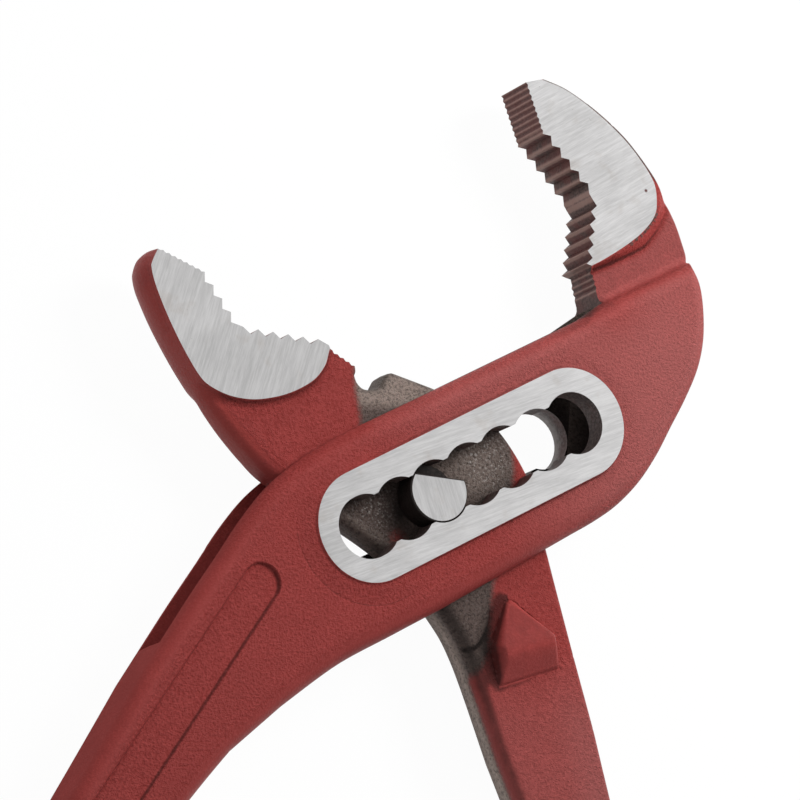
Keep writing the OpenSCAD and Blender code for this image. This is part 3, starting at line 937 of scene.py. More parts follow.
@dataclass
class SlottedArm:
    """Arm with the right jaw, the box round the slot and the left handle."""

    box_top: Points = ((34.2, 33.9), (29, 30.5), (0, 16.5))
    box_heel: Points = ((-12, 10.8), (-18, 7.7), (-23, 4.6), (-28.5, 0.3), (-33.2, -4.9), (-38, -11.3),
                        (-43, -17.9), (-48, -24.8))
    box_belly: Points = ((-28.4, -35.1), (-18.2, -28.2), (-8.2, -23.1), (1.6, -18.2))
    box_nose: Points = ((26, -5.1), (30.1, -2.9), (34.4, -0.1), (38.7, 3.8), (42.4, 8.5), (45.5, 13.4), (48.6, 18.3),
                        (51.3, 23.4), (52.8, 28.5), (53.2, 34), (52.7, 38.4), (51, 41.9))
    jaw_back: Points = ((51, 41.9), (51.7, 43), (51.1, 45.6), (50, 49), (48.5, 52), (46.3, 55.8), (43.3, 59.9),
                        (40.1, 63.4), (35.3, 67.2), (30.3, 70.2), (26.1, 71.6))
    jaw_tip: Sequence[float] = (22.5, 70.7)
    upper_bite: Points = ((25.1, 62.1), (33.2, 52.6))
    lower_bite: Points = ((33.7, 51.7), (31.9, 40.5))
    jaw_root: Points = ((32.8, 40.2), (33.7, 36.2))
    jaw_ground: Points = ((27, 37.4), (33, 40.3), (36, 41.9), (40, 44.4), (43, 46.7), (45.2, 49.2), (46, 51.6),
                          (45.7, 55.4), (43, 59.6), (39.8, 63.1), (35.1, 66.9), (30.2, 69.9), (26, 71.3), (21, 72.6))
    channel: Points = ((34.2, 33.9), (36.8, 31.4), (40.8, 26.2), (44.8, 21.6), (49.8, 17.6), (66, 4), (66, -60),
                       (-36.5, -48), (-36.5, -32), (-48.4, -25.4), (-66, -16), (-66, 33.4))
    panel_at: Sequence[float] = (-32, -16)
    panel_len: float = 52.0
    panel_r: float = 3.2
    panel_turn: float = 233.0
    panel_deep: float = 0.6
    edge_r: float = 3.0
    land_r: float = 9.2
    jaw_step: float = 0.7
    jaw_fillet: float = 2.4
    tooth_depth: float = 1.0
    fine_depth: float = 0.25
    swell: float = 0.12

    def __post_init__(self) -> None:
        """Works out the loops that the heights are measured from."""
        self.back, heel = smooth_curve(self.jaw_back), smooth_curve(self.box_heel)
        handle = SLOTTED_HANDLE.outline()
        self.rear = np.concatenate([heel, handle[:len(handle) // 2]])
        self.box = tidy_loop(np.asarray(self.box_top, float), heel, handle, smooth_curve(self.box_belly),
                             smooth_curve(self.box_nose))
        self.rows = [tooth_row(self.jaw_tip, self.upper_bite[0], 9, self.fine_depth),
                     tooth_row(*self.upper_bite, 5, self.tooth_depth),
                     tooth_row(*self.lower_bite, 5, self.tooth_depth),
                     tooth_row(*self.jaw_root, 4, self.fine_depth)]
        self.throat = np.array(self.box_top[0], float)
        self.teeth = np.concatenate(self.rows + [self.throat[None]])
        self.outline = densify(tidy_loop(self.box[1:], self.back[1:], self.teeth), 0.7)
        self.slot = notched_slot()
        self.land = stadium(SLOT_FIRST, SLOT_LAST, self.land_r, SLOT_TURN)
        self.ground_line = smooth_curve(self.jaw_ground)
        self.ground = tidy_loop(self.ground_line, np.array([[10.0, 66.0]]))
        self.panel = stadium(0, self.panel_len, self.panel_r, self.panel_turn, self.panel_at)
        self.gap = np.asarray(self.channel[::-1], float)

    def beyond(self, p: Array) -> Array:
        """Distance past the step between box and jaw, positive on the jaw's side."""
        run = self.box_nose[-1] - self.throat
        return (p - self.throat) @ [-run[1], run[0]] / np.hypot(*run)

    @staticmethod
    def shelf(p: Array) -> Array:
        """Width of the painted shelf beside the jaw's ground face, widest towards the back."""
        width = np.interp(p[:, 0], [34, 39, 43.5, 46.5], [0.8, 1.4, 2.1, 1.8])
        return width + (2.1 - width) * ease(48, 52, p[:, 1])

    @staticmethod
    def heel(p: Array) -> Array:
        """Share from 0 at the pin to 1 at the slot's handle end."""
        return ease(0, -16, p @ direction(SLOT_TURN))

    def front(self, p: Array) -> Array:
        """Height of the front face: box and jaw with rounded edges, then land, panel and ground face.

        Args:
            p: points of the plan.

        Returns:
            Heights above the middle plane.
        """
        high = CHEEK_H + (HANDLE_H - CHEEK_H) * SLOTTED_HANDLE.thinned(p)
        box = high + rounding(depth_in(p, self.box), np.minimum(self.edge_r, high - 1.5), 0.1)
        radius = np.interp(p[:, 1], [42, 50, 56], [0.7, 0.7, 0.3])
        jaw = JAW_H - self.jaw_step + rounding(distance(p, self.back), radius, 0.15)
        off, foot = -depth_in(p, self.ground), self.shelf(p)
        dip = np.interp(p[:, 0], [38, 46], [0.5, 0.2])
        jaw = jaw + self.jaw_step * (1 - ease(0.2 * foot, foot, off)) - dip * bump(off, foot, 0.45) * (off > 0)
        jaw = np.where(off <= 1e-3, JAW_H, jaw)
        body = higher(box, np.where(self.beyond(p) > -8, jaw, -20.0), self.jaw_fillet)
        away, heel = -depth_in(p, self.land), self.heel(p)
        moat = 0.2 * (1 - heel) * bump(away, 0.7, 1.1) - 0.42 * heel * ease(3, 0, away)
        seam = 0.1 * heel * ease(-4, -8, p[:, 1]) * bump(away, 3.5, 0.3)
        cheek = body - moat - seam
        cheek = cheek + (LAND_H - cheek) * (1 - ease(0, 0.35, away))
        cheek = cheek - self.panel_deep * ease(-0.2, 0.3, depth_in(p, self.panel))
        return np.where(away <= 1e-3, LAND_H, cheek)

    def build(self) -> Mesh:
        """Closed mesh of the arm, with the slot through it and the channel between its cheeks."""
        edge = self.edge_r * (1 - np.cos(np.radians(np.arange(10, 100, 10))))
        ground = within_edge(self.ground_line, self.outline)
        land, panel = densify(self.land, 0.5), densify(self.panel, 0.35)
        step = densify(np.array([self.throat, self.box_nose[-1]]), 0.4, False)[2:-2]
        rows = [(self.outline, True, edge),
                (land, True, (-0.1, -0.2, -0.35, -0.6, -1, -1.5, -2.2, -3, -3.25, -3.5, -3.75, -4)),
                (panel, True, (-0.55, -0.2, -0.08, 0.06, 0.18, 0.3, 0.6)),
                (ground, False, (-0.1, -0.3, -0.55, -0.8, -1.05, -1.3, -1.6, -1.9, -2.15, -2.4, -2.7, -3.2)),
                (step, False, (2.4, 1.8, 1.2, 0.8, 0.5, 0.3, 0.15, 0, -0.15, -0.3, -0.5, -0.8, -1.2, -1.8, -2.4,
                               -3.0))]
        plan = Plan(self.outline, [self.slot], [(ground, False), (land, True), (panel, True)], rows)
        plan.lay()
        height, middles = self.front(plan.points), plan.middles()
        finish = np.where(inside(middles, self.ground), Face.GROUND.value, Face.PAINT.value)
        finish[inside(middles, self.land)] = Face.LAND.value
        mesh = forged(plan, height, height, self.swell, finish, self.teeth, self.slot, "slotted_arm_forging")
        rings = [np.column_stack([self.gap, np.full(len(self.gap), MID_Z + h)]) for h in (-CHANNEL_H, CHANNEL_H)]
        return carve(mesh, rings_mesh(np.stack(rings), "channel"), Face.PAINT)

    def marks(self, v: Array) -> dict[str, Array]:
        """How the finishes look at each vertex.

        Args:
            v: the mesh's vertices.

        Returns:
            Shares of worn coat, painted shade, bare steel, pale steel as painted light, painted sheen, coat on teeth,
            smooth coat, matt coat, and rubbed crests with painted bounce light on the slot's wall.
        """
        p, (x, y, z) = v[:, :2], v.T
        depth, away, off = depth_in(p, self.box), -depth_in(p, self.land), -depth_in(p, self.ground)
        outer, face = np.abs(z - MID_Z) > CHANNEL_H + 0.2, np.abs(z - MID_Z) > 2.8
        rim, beyond, shelf, heel = distance(p, self.back), self.beyond(p), self.shelf(p), self.heel(p)
        throat = spot(p, self.throat, 30)
        # Painted shade round the land's foot, in the seam at its heel and along the panel's frame, more on the frame's
        # right side
        foot = 0.5 * (1 - 0.5 * heel) * bump(np.maximum(away, 0), 0.35, 0.5) * (away > 0.02)
        seam = 0.55 * heel * ease(-4, -8, y) * bump(away, 3.5, 0.25) * outer
        shaded = ease(0, 2, (p - np.asarray(self.panel_at)) @ [0.8, -0.6])
        frame_line = (0.5 + 0.14 * shaded) * bump(depth_in(p, self.panel), 0.12, 0.25 + 0.1 * shaded) * outer
        # Painted shade on the shelf under the jaw's ground face, in the step between jaw and box, and over the jaw's
        # flat
        low = ease(54, 49, y) * (off > 0.02)
        line = np.interp(x, [38, 44, 48], [0.92, 0.8, 0.5]) * bump(off, shelf, 0.38)
        band = np.maximum(line, 0.5 * ease(42, 37, x) * ease(shelf + 0.1, shelf - 0.3, off)) * low
        crease = bump(beyond, -0.4, 0.8) * (off > 0.5)
        flat = np.maximum(0.46 * ease(0, 1.5, beyond) * (off > shelf), 0.55 * throat ** 3)
        step = np.maximum(0.47 * crease, flat) * (depth < 3)
        # The channel, bare inside and darkened with painted shade, its steel made pale at the throat as painted light,
        # and painted shade on the box's edge beside the throat
        gap, sunk = ~outer & (depth_in(p, self.gap) > -0.1), ease(-16, -10, x)
        corner = spot(p, self.throat, 250) * ease(34, 29, x) * ease(2.4, 0.8, depth) * outer
        gloom = gap * (0.38 + 0.62 * sunk) * (1 - 0.85 * throat) + np.minimum(0.7 * corner, 0.5)
        # Bare steel at the jaw's tip, and chips along its ground face
        tip = 0.9 * ease(53, 57, y) * bump(rim, 0, 0.6) * face
        spots = 0.5 + 0.5 * np.sin(9 * x) * np.sin(7 * y + 1)
        chips = 1.2 * spots * bump(off, 0.15, 0.55) * low * ease(38, 40, x) * face
        # Painted sheen: pale haze on the cheek from a slanting line on, and on the jaw's flat
        start = np.interp(p @ direction(SLOT_TURN + 90), [-14, 12], [10, -17])
        nose = 0.62 + 0.2 * ease(25, 45, x) * ease(42, 24, y)
        painted_sheen = ease(0, 24, x - start) * outer * ease(0.4, 2.4, depth) * nose * (1 - 0.7 * throat)
        painted_sheen = np.maximum(painted_sheen, 0.56 * ease(0.3, 1.2, off - shelf) * (beyond > 0) * face) * (1 - 0.8 * crease)
        # Teeth with rubbed crests, and the slot's wall, painted lighter towards the back face as painted bounce light
        fine = crest_share(p, [self.rows[0], self.rows[3]], 0.5)
        film = np.maximum(ease(60.5, 63, y) * (0.2 + 0.7 * fine), 0.12 * ease(53, 50, y))
        rubbed = 0.85 * ease(4.4, 0.4, z) * (distance(p, self.slot, True) < ON_LINE)
        peaks = np.maximum(crest_share(p, self.rows[1:3]), 0.75 * fine)
        return {"wear": outer * 0.35 * bump(depth, 0.5, 0.6) + face * 0.3 * bump(rim, 0.3, 0.6),
                "shade_share": foot + seam + frame_line + np.maximum(band, step) * (y > 31) * face * ~gap + gloom,
                "bare": gap * sunk + tip + chips, "pale": gap * throat, "painted_sheen": painted_sheen, "film": film,
                "sleek": ease(3.2, 1.8, depth) * (0.35 + 0.65 * ease(2, -14, y)),
                "matt": np.maximum(ease(2.2, 0.6, distance(p, self.rear)), gap * sunk),
                "crest": np.maximum(peaks, rubbed)}

    def dress(self, finishes: Finishes) -> Object:
        """Builds and marks the arm, and puts it in place of its node."""
        mesh = self.build()
        store(mesh, **self.marks(coordinates(mesh)))
        materials = [finishes.paint, finishes.slotted_jaw, finishes.tooth, finishes.bore, finishes.land]
        return place(mesh, "slotted_arm_forging", materials, "slotted_arm", "slotted_arm")


@dataclass
class InnerArm:
    """Arm with the left jaw, the web through the box and the right handle with its closing stop."""

    arm_back: Points = ((-46, 38), (-47.4, 36.8), (-48, 34.8), (-47.7, 32.4), (-46.9, 30.3), (-44.9, 25.9),
                        (-41.9, 20.4), (-39.3, 16.3), (-36.7, 12.5), (-33.9, 9), (-30.7, 5.6), (-27.2, 2.3),
                        (-20.7, -1.6), (-13.8, -5.3), (-7.6, -9.2), (-2.7, -13.3))
    arm_belly: Points = ((1.4, -18.3), (3.9, -22), (5.6, -25.6), (6.9, -29.1), (8.3, -33.3))
    arm_front: Points = ((25.8, -25.3), (23.4, -14.8), (21.8, -7.6), (20.5, -1.9), (18.9, 4.8), (14, 12.1), (8, 16.2),
                         (2.2, 18.3))
    arm_lug: Points = ((-4.6, 20.3), (-5.6, 20), (-6.3, 19), (-7, 17.9), (-8.4, 17.3), (-10, 17.4), (-11, 18.3),
                       (-11.4, 19.4))
    root: Points = ((-11.6, 20.9), (-16.5, 23.8))
    lower_bite: Points = ((-18.4, 24.7), (-31.6, 25.9))
    upper_bite: Points = ((-32.2, 26.1), (-37.9, 34.5))
    tip: Sequence[float] = (-46, 38)
    arm_ground: Points = ((-15.6, 25.4), (-16.6, 22.6), (-17.3, 20.6), (-19, 18.4), (-21.5, 16.7), (-25, 15.2),
                          (-29, 14.3), (-32, 14.2), (-35, 14.7), (-38, 16), (-39.8, 17.7), (-42.2, 21.7),
                          (-44.4, 26.2), (-46.2, 30.7), (-47.1, 34.1), (-46.8, 36), (-44, 41))
    stop_dir: float = 285.5
    stop_outline: Points = ((19.4, 8.2), (19.4, 9.6), (26.6, 15), (32.4, 14.6), (32.7, 2.7), (26, 3.2))
    stop_slope: Points = ((18.4, 0), (27.8, 3.2), (32.9, 0))
    stop_shade: Points = ((19.2, 7.5), (25.8, 2.6), (30.6, 2.3))
    groove: Points = ((10.6, -18.3), (10.3, -20), (9.6, -21.6), (8.7, -23), (7.7, -24.1), (6.6, -24.6), (5.8, -24.7))
    uncoated: Points = ((-11.7, 17.2), (-11.2, 14), (-11, 10), (-18, 4), (-27, 1), (-22, -9), (-4, -18), (3, -27),
                        (5.5, -30), (8.4, -27.6), (9.9, -25), (10.7, -18.4), (11.3, -13.9), (14, -6), (15.9, 1.9),
                        (16.4, 4.8), (16.3, 8.1), (15.6, 11.4), (13.5, 14.5), (11, 17), (0, 23), (-11.4, 23))
    glints: Points = ((10, 8), (12, 5.5), (-9.3, -1.8))
    bore_r: float = 5.15
    rear_r: float = 2.2
    tooth_depth: float = 1.0
    fine_depth: float = 0.25
    swell: float = 0.1

    def __post_init__(self) -> None:
        """Works out the loops that the heights are measured from."""
        handle, lug = INNER_HANDLE.outline(), smooth_curve(self.arm_lug)
        half = len(handle) // 2
        self.rear = smooth_curve(self.arm_back)
        self.left = np.concatenate([smooth_curve(self.arm_belly), handle[:half]])
        self.right = np.concatenate([handle[half:], smooth_curve(self.arm_front)])
        self.rows = [tooth_row(*self.root, 5, self.fine_depth), tooth_row(*self.lower_bite, 5, self.tooth_depth),
                     tooth_row(*self.upper_bite, 4, self.tooth_depth),
                     tooth_row(self.upper_bite[1], self.tip, 8, self.fine_depth)]
        self.teeth = np.concatenate(self.rows)
        self.outline = densify(tidy_loop(self.rear, self.left, self.right, lug, self.teeth), 0.7)
        self.ground_line = smooth_curve(self.arm_ground)
        self.ground = tidy_loop(self.ground_line, np.array([[-30.0, 44.0]]))
        a = np.radians(np.arange(0, 360, 6))
        self.bore = self.bore_r * np.stack([np.cos(a), np.sin(a)], 1)
        self.stop = turned(np.asarray(self.stop_outline[::-1], float), self.stop_dir)
        self.groove_line = smooth_curve(self.groove)
        self.lug = np.concatenate([np.array([self.arm_front[-1]], float), lug])

    def plain(self, p: Array, jaw_r: float = 2.2, lug_r: float = 1.0) -> Array:
        """Height shared by both faces: web and handle with rounded edges, and the raised ground face.

        Args:
            p: points of the plan.
            jaw_r: radius of the jaw's rear edge.
            lug_r: radius of the lug's edge.

        Returns:
            Heights from the middle plane.
        """
        flat = WEB_H + (HANDLE_H - WEB_H) * INNER_HANDLE.thinned(p)
        rear_r = np.interp(p[:, 1], [6, 16], [self.rear_r, jaw_r])
        edges = [rounding(distance(p, line), radius) for line, radius in
                 ((self.rear, rear_r), (self.right, 1.0), (self.lug, lug_r), (self.left, 1.7))]
        off = -depth_in(p, self.ground)
        rise = (JAW_H - WEB_H) * (1 - np.clip(off / 1.3, 0, 1)) ** 2
        face = flat + np.min(edges, 0) + rise - 0.1 * bump(off, 1.3, 0.5) * (off > 0)
        return np.where((off <= 1e-3) & (rear_r < 3), JAW_H, face)

    def front(self, p: Array) -> Array:
        """Height of the front face: the shared height, the closing stop and a shallow die groove."""
        face = self.plain(p) - 0.3 * bump(distance(p, self.groove_line), 0, 0.25)
        along = turned(p, -self.stop_dir)[:, 0]
        low, peak, end = self.stop_slope
        rise = (along - low[0]) * peak[1] / (peak[0] - low[0])
        fall = (end[0] - along) * peak[1] / (end[0] - peak[0])
        skirt = 3.2 * depth_in(p, self.stop)
        return face + np.maximum(-higher(higher(-rise, -fall, 1.3), -skirt, 2.0), 0)

    def build(self) -> Mesh:
        """Closed mesh of the arm, with the bore for the pin."""
        edge = self.rear_r * (1 - np.cos(np.radians(np.arange(10, 100, 10))))
        ground, stop = within_edge(self.ground_line, self.outline), densify(self.stop, 0.4)
        top = self.stop_slope[1][0]
        ridge = densify(turned(np.array([[top, 3.6], [top, 14.4]]), self.stop_dir), 0.4, False)
        groove = densify(self.groove_line, 0.4, False)
        rows = [(self.outline, True, edge), (ground, False, (0.2, 0.45, 0.75, 1.05, 1.4, 1.9)),
                (ground, False, (-0.2, -0.45, -0.75, -1.05, -1.4, -1.9)),
                (stop, True, (0.12, 0.25, 0.4, 0.55, 0.7, 0.85, 1, 1.2, 1.5, -0.2)),
                (ridge, False, (-0.6, -0.4, -0.2, 0.2, 0.4, 0.6, 0.8)),
                (groove, False, (-0.6, -0.4, -0.2, 0, 0.2, 0.4, 0.6))]
        plan = Plan(self.outline, [self.bore], [(ground, False), (stop, True), (ridge, False)], rows)
        plan.lay()
        finish = np.where(inside(plan.middles(), self.ground), Face.GROUND.value, Face.PAINT.value)
        return forged(plan, self.front(plan.points), self.plain(plan.points, 3.4, 1.6), self.swell, finish, self.teeth,
                      self.bore, "inner_arm_forging")

    def bare(self, v: Array) -> tuple[Array, Array]:
        """Where the coat stops: inside the box, on the lug, under the belly and down the left wall.

        Args:
            v: the mesh's vertices.

        Returns:
            The share of bare steel at each vertex, and where that steel is pale: on the wall and the lug, and, as a
            painted highlight, less so on the web's right side and rear edge.
        """
        p, (x, y, z) = v[:, :2], v.T
        zone = ease(-2.6, 2.2, depth_in(p, np.asarray(self.uncoated, float))) * (1 - 0.5 * spot(p, (-5.4, -7), 6))
        wall = (distance(p, self.left) < 0.3) * ease(-110, -70, y) * ease(2.1, 1.2, z - MID_Z)
        lug = ease(13.5, 15.5, y) * ease(-14, -10, x)
        # Painted highlight: a pale bar along the rear edge, and a pale patch on the web's right side
        bar = 0.5 * bump(distance(p, self.rear), 0.9, 0.9) * ease(-26, -22, x) * ease(3, 0, y)
        return np.maximum(zone, wall), np.maximum(np.maximum(wall, lug), 0.6 * spot(p, (9, 5), 50) + bar)

    def marks(self, v: Array) -> dict[str, Array]:
        """How the finishes look at each vertex.

        Args:
            v: the mesh's vertices.

        Returns:
            Shares of worn coat (with painted light on the jaw's rear band), painted shade, painted sheen, bare and
            pale steel (in places a painted highlight), smooth coat, rubbed crests and painted glints.
        """
        p, (x, y, z) = v[:, :2], v.T
        off, deep = -depth_in(p, self.ground), depth_in(p, self.stop)
        rear, left, right = (distance(p, line) for line in (self.rear, self.left, self.right))
        upper, front = np.abs(z - MID_Z) > 1.0, z > MID_Z + 1
        stop = turned(p, -self.stop_dir)
        # Worn edges and the stop's ridge, and the jaw's rear band, which is painted lighter as painted light
        worn = 0.35 * bump(rear, 0.5, 0.6) + 0.35 * bump(right, 0.3, 0.5)
        crest = bump(stop[:, 0], self.stop_slope[1][0], 0.4) * (deep > -0.1) * front
        band = ease(2.6, 1.2, rear) * ease(2, 8, y) * ease(35, 29, y)
        # Shade round the stop and on it, and down the handle's left edge
        skirt = bump(deep, -0.3, 0.6) * (deep < 0.3) * (stop[:, 1] < 9) * front
        flank = bump(distance(stop, np.asarray(self.stop_shade)), 0, 1.6) * ease(1.0, 0.3, deep) * front
        roof = np.interp(stop[:, 0], [27, 28], [0.5, 0.4]) * ease(0.2, 1.2, deep) * front
        lip = bump(left, 1.0, 1.1) * np.interp(y, [-70, -34, -26], [0.45, 0.7, 0.8]) * upper
        # Shade on the web: the lug's rim, beside the pin, along the slot's edges and in the die groove
        rim = 0.66 * bump(distance(p, self.lug), 0, 0.6)
        shadow = 1.1 * np.exp(-((p - (-4.9, -2.2)) ** 2 @ [0.3, 0.07])) * front
        off_slot = np.abs(p @ direction(SLOT_TURN + 90))
        dim = 0.5 * ease(1.8, 4.8, off_slot) * ease(7.5, 6, off_slot) * ease(-24, -20, x) * front
        seam = bump(distance(p, self.groove_line), 0, 0.28) * front
        # Painted shade beside the ground face, and in the bend of the jaw's rear edge
        ledge = np.maximum(0.64 * bump(off, 0.35, 0.4), 0.46 * bump(off, 0.9, 0.6)) * ease(-42, -34, x)
        ledge = np.maximum(ledge, 0.52 * bump(off, 0.12, 0.22)) * (off > 0.02) * upper
        bend = 0.42 * bump(rear, 3.0, 0.9) * ease(1, 4, y) * ease(15, 12, y) * front
        painted_shade = np.maximum(ledge, bend) + 0.6 * skirt + lip + seam + 0.92 * flank + roof + rim + shadow + dim
        # Painted sheen down the handle's front, more towards its right edge
        dull = np.interp(y, [-62, -36, -24], [0.55, 0.36, 0]) * front * (1 + 0.8 * ease(9, 2, right))
        bare, pale = self.bare(v)
        fine = crest_share(p, [self.rows[0], self.rows[3]], 0.5)
        return {"wear": np.maximum(upper * worn + 0.4 * crest, band), "shade_share": painted_shade, "painted_sheen": dull, "bare": bare,
                "pale": pale, "sleek": np.maximum(ease(2.6, 1.4, np.minimum(rear, left)), (deep > 0) * front),
                "crest": np.maximum(crest_share(p, self.rows[1:3]), 0.6 * fine),
                "shine": np.sum([spot(p, at, 14) for at in self.glints], 0)}

    def dress(self, finishes: Finishes) -> Object:
        """Builds and marks the arm, and puts it in place of its node."""
        mesh = self.build()
        store(mesh, **self.marks(coordinates(mesh)))
        materials = [finishes.paint, finishes.inner_jaw, finishes.tooth, finishes.bore]
        return place(mesh, "inner_arm_forging", materials, "inner_arm", "inner_arm")


@dataclass
class PivotPin:
    """Round pin with a flat on each end."""

    radius: float = 5.1
    flat: float = 2.4
    turn: float = -4.5
    height: float = 2 * MID_Z
    end: float = 4.4
    bevel: float = 0.22
    ledge: float = 0.02

    def ring(self, z: float, cut: bool, inset: float = 0.0) -> Array:
        """Circle at a height, with its points above the flat brought down to it."""
        a = np.radians(np.arange(0, 360, 3.0))
        x, y = (self.radius - inset) * np.cos(a), (self.radius - inset) * np.sin(a)
        if cut:
            y = np.minimum(y, self.flat - inset)
        return np.column_stack([turned(np.stack([x, y], 1), self.turn), np.full_like(x, z)])

    def dress(self, finishes: Finishes) -> Object:
        """Builds the pin from its end up and puts it in place of its node."""
        top, shank = self.height, self.end + self.ledge
        rings = [(0, True, self.bevel), (self.bevel, True), (self.end, True), (shank, False), (top - shank, False),
                 (top - self.end, True), (top - self.bevel, True), (top, True, self.bevel)]
        mesh = rings_mesh(np.stack([self.ring(*r) for r in rings]), "pivot_pin_ground")
        caps = len(mesh.polygons) - 2
        finish = (np.arange(caps + 2) < caps).astype(np.int32)
        mesh.polygons.foreach_set("material_index", finish)
        return place(mesh, "pivot_pin_ground", [finishes.pin, finishes.shank], "pivot_pin", "pivot_pin",
                     40.0)


@dataclass
class Grip:
    """Dipped sleeve over the end of a handle, with a rolled mouth and a domed end."""

    handle: Handle
    node: str
    body: str
    wall: float = 2.4
    bead: float = 0.5
    square: float = 0.6

    def section(self, s: Array, half_w: Array, half_t: Array) -> Array:
        """Rings across the handle: an ellipse whose sine and cosine are raised to a power below 1.

        Args:
            s: distance of each ring from the shoulder.
            half_w: half width of each ring.
            half_t: half thickness of each ring.

        Returns:
            Array of ring, point and coordinate.
        """
        t = np.radians(np.arange(0, 360, 5.0))
        u, w = (np.sign(side) * np.abs(side) ** self.square for side in (np.cos(t), np.sin(t)))
        flat = self.handle.centre(s)[:, None] + self.handle.side(s)[:, None] * (half_w[:, None] * u)[..., None]
        return np.concatenate([flat, (MID_Z + half_t[:, None] * w)[..., None]], 2)

    def dress(self, finishes: Finishes) -> Object:
        """Builds the sleeve from its mouth to its dome and puts it in place of its node."""
        h = self.handle
        wide, thick = h.grip_w / 2 + self.wall, HANDLE_H + self.wall
        start, end = h.length - h.grip_len, h.length + self.wall
        a, d = np.radians(np.arange(0, 181, 20)), np.radians(np.arange(6, 88, 6))
        mouth = self.bead * np.sin(a) - self.bead
        sleeve = np.linspace(start + 6, end - wide, 40)
        s = np.concatenate([[start, start], start + self.bead * (1 - np.cos(a)) * 1.6, sleeve,
                            end - wide + wide * np.sin(d)])
        half_w, half_t = (np.concatenate([[inner - 1, outer - 1.3], outer + mouth,
                                          np.full_like(sleeve, outer - self.bead),
                                          (outer - self.bead) * np.cos(d) ** power])
                          for inner, outer, power in ((h.grip_w / 2, wide, 0.8), (HANDLE_H, thick, 0.5)))
        rings = self.section(s, half_w, half_t)[:, ::-1]
        mesh = rings_mesh(rings, self.node + "_dipped")
        store(mesh, wear=np.repeat(bump(s, start, 3.0), rings.shape[1]))
        return place(mesh, self.node + "_dipped", [finishes.vinyl], self.node, self.body, 50.0)


# Stage, light and camera

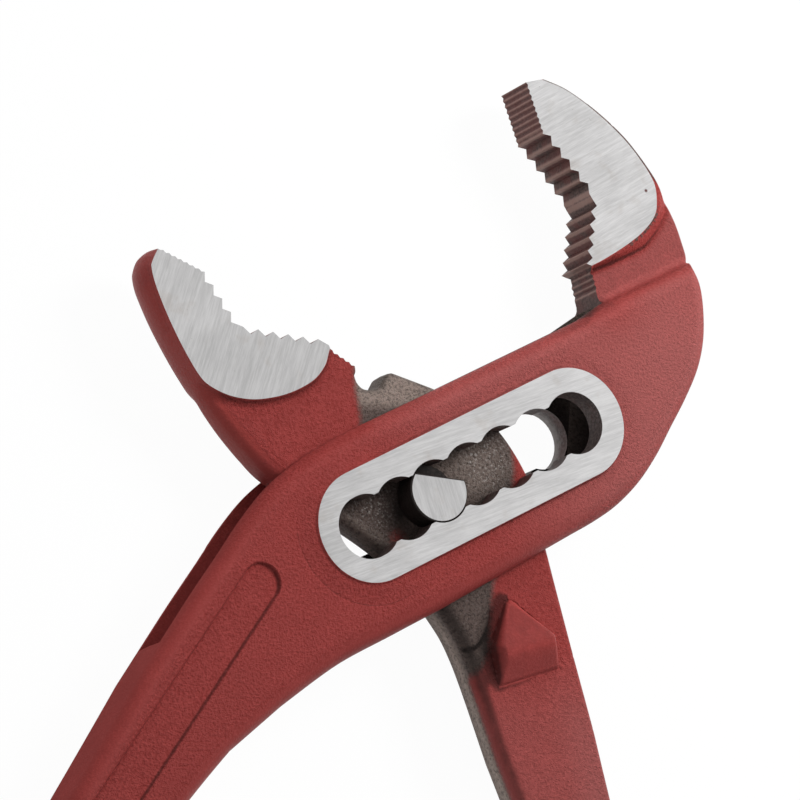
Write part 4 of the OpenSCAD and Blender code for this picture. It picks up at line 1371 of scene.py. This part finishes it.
@dataclass
class Stage:
    """Pale floor, soft lights, white surroundings and the camera of the photograph."""

    scale_px: float = 6.27
    focal_px: float = 5500.0
    frame_px: float = 800.0
    lean: float = 30.5
    turn: float = 25.5
    pin_px: tuple[float, float] = (439.6, 490.9)
    pin_top: float = 2 * MID_Z
    sensor: float = 36.0
    floor_half: float = 3.0
    floor_z: float = -0.0002
    key_at: tuple[float, float, float] = (0.2, 0.145, 0.245)
    fill_at: tuple[float, float, float] = (-0.1, 0.8, 0.35)

    def camera(self) -> None:
        """Camera whose axis leans from the pin's by lean, towards the direction turn in the picture."""
        lean, turn = math.radians(self.lean), math.radians(self.turn)
        along = Vector((math.cos(turn), math.sin(turn), 0))
        across = Vector((-math.sin(turn), math.cos(turn), 0))
        up_z = Vector((0, 0, 1))
        back = up_z * math.cos(lean) - along * math.sin(lean)
        shown = along * math.cos(lean) + up_z * math.sin(lean)
        right = shown * math.cos(turn) - across * math.sin(turn)
        up = shown * math.sin(turn) + across * math.cos(turn)
        off = [(p - self.frame_px / 2) / self.scale_px for p in self.pin_px]
        where = up_z * self.pin_top + back * (self.focal_px / self.scale_px) - right * off[0] + up * off[1]
        data = bpy.data.cameras.new("photo camera")
        data.sensor_width = self.sensor
        data.lens = self.sensor * self.focal_px / self.frame_px
        data.clip_start, data.clip_end = 0.01, 20
        camera = add_object("photo camera", data)
        camera.matrix_world = Matrix.Translation(where * MM) @ Matrix((right, up, back)).transposed().to_4x4()
        bpy.context.scene.camera = camera

    @staticmethod
    def seen_white(nodes: Nodes) -> Socket:
        """1 for rays from the camera and for mirrored or transmitted ones, 0 for light that bounces."""
        path = nodes.add("LightPath").outputs
        return nodes.most(nodes.most(path["Is Camera Ray"], path["Is Glossy Ray"]), path["Is Transmission Ray"])

    def floor(self) -> None:
        """Pale floor at the height that the tool rests on, which stays nearly white in its shadow."""
        half, low = self.floor_half, self.floor_z
        mesh = bpy.data.meshes.new("floor")
        corners = [(-half, -half, low), (half, -half, low), (half, half, low), (-half, half, low)]
        mesh.from_pydata(corners, [], [(0, 1, 2, 3)])
        material, nodes = new_material("pale floor")
        nodes.tree.nodes.clear()
        shade = nodes.add("BsdfDiffuse", {"Color": (0.55, 0.55, 0.55, 1)})
        glow = nodes.add("Emission", {"Color": WHITE, "Strength": 1.03})
        nodes.show(nodes.times(self.seen_white(nodes), 0.94), shade, glow, nodes.add("OutputMaterial"))
        mesh.materials.append(material)
        piece = add_object("floor", mesh)

    def surroundings(self) -> None:
        """White world for what the camera and mirrors see; it sheds grey light, stronger from +Y and from -X."""
        world = bpy.data.worlds.new("studio")
        bpy.context.scene.world = world
        world.use_nodes = True
        nodes = Nodes(world.node_tree)
        shed = world.node_tree.nodes["Background"]
        toward = nodes.add("SeparateXYZ", {0: nodes.add("TexCoord").outputs["Generated"]}).outputs
        nodes.put(shed.inputs["Color"], WHITE)
        nodes.put(shed.inputs["Strength"], nodes.plus(toward["Y"], 0.18, nodes.plus(toward["X"], -0.21, 0.32)))
        shown = nodes.add("Background", {"Color": WHITE, "Strength": 1.0})
        nodes.show(self.seen_white(nodes), shed, shown, world.node_tree.nodes["World Output"])

    @staticmethod
    def lamp(name: str, where: Sequence[float], size: float, watts: float, mirrored: bool) -> None:
        """Square area lamp that faces the pin.

        Args:
            name: the lamp's name.
            where: its place.
            size: its side.
            watts: its power.
            mirrored: whether glossy faces show it; without it they show the white surroundings alone.
        """
        data = bpy.data.lights.new(name, "AREA")
        data.size, data.energy = size, watts
        lamp = add_object(name, data)
        lamp.location = where
        lamp.visible_glossy = mirrored
        lamp.rotation_euler = (-Vector(where)).to_track_quat("-Z", "Y").to_euler()

    def build(self) -> None:
        """Makes the camera, floor, surroundings and lamps."""
        self.camera()
        self.floor()
        self.surroundings()
        self.lamp("key", self.key_at, 0.14, 1.05, False)
        self.lamp("gleam", self.key_at, 0.14, 0.1, True)
        self.lamp("fill", self.fill_at, 0.5, 1.2, True)
        bpy.context.scene.view_settings.view_transform = "Standard"


def main() -> None:
    """Builds the stage and every piece."""
    logging.basicConfig(level=logging.INFO, format="%(name)s: %(message)s")
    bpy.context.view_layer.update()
    Stage().build()
    finishes = Finishes()
    SlottedArm().dress(finishes)
    InnerArm().dress(finishes)
    PivotPin().dress(finishes)
    Grip(SLOTTED_HANDLE, "slotted_grip", "slotted_arm").dress(finishes)
    Grip(INNER_HANDLE, "inner_grip", "inner_arm").dress(finishes)


if __name__ == "__main__":
    main()
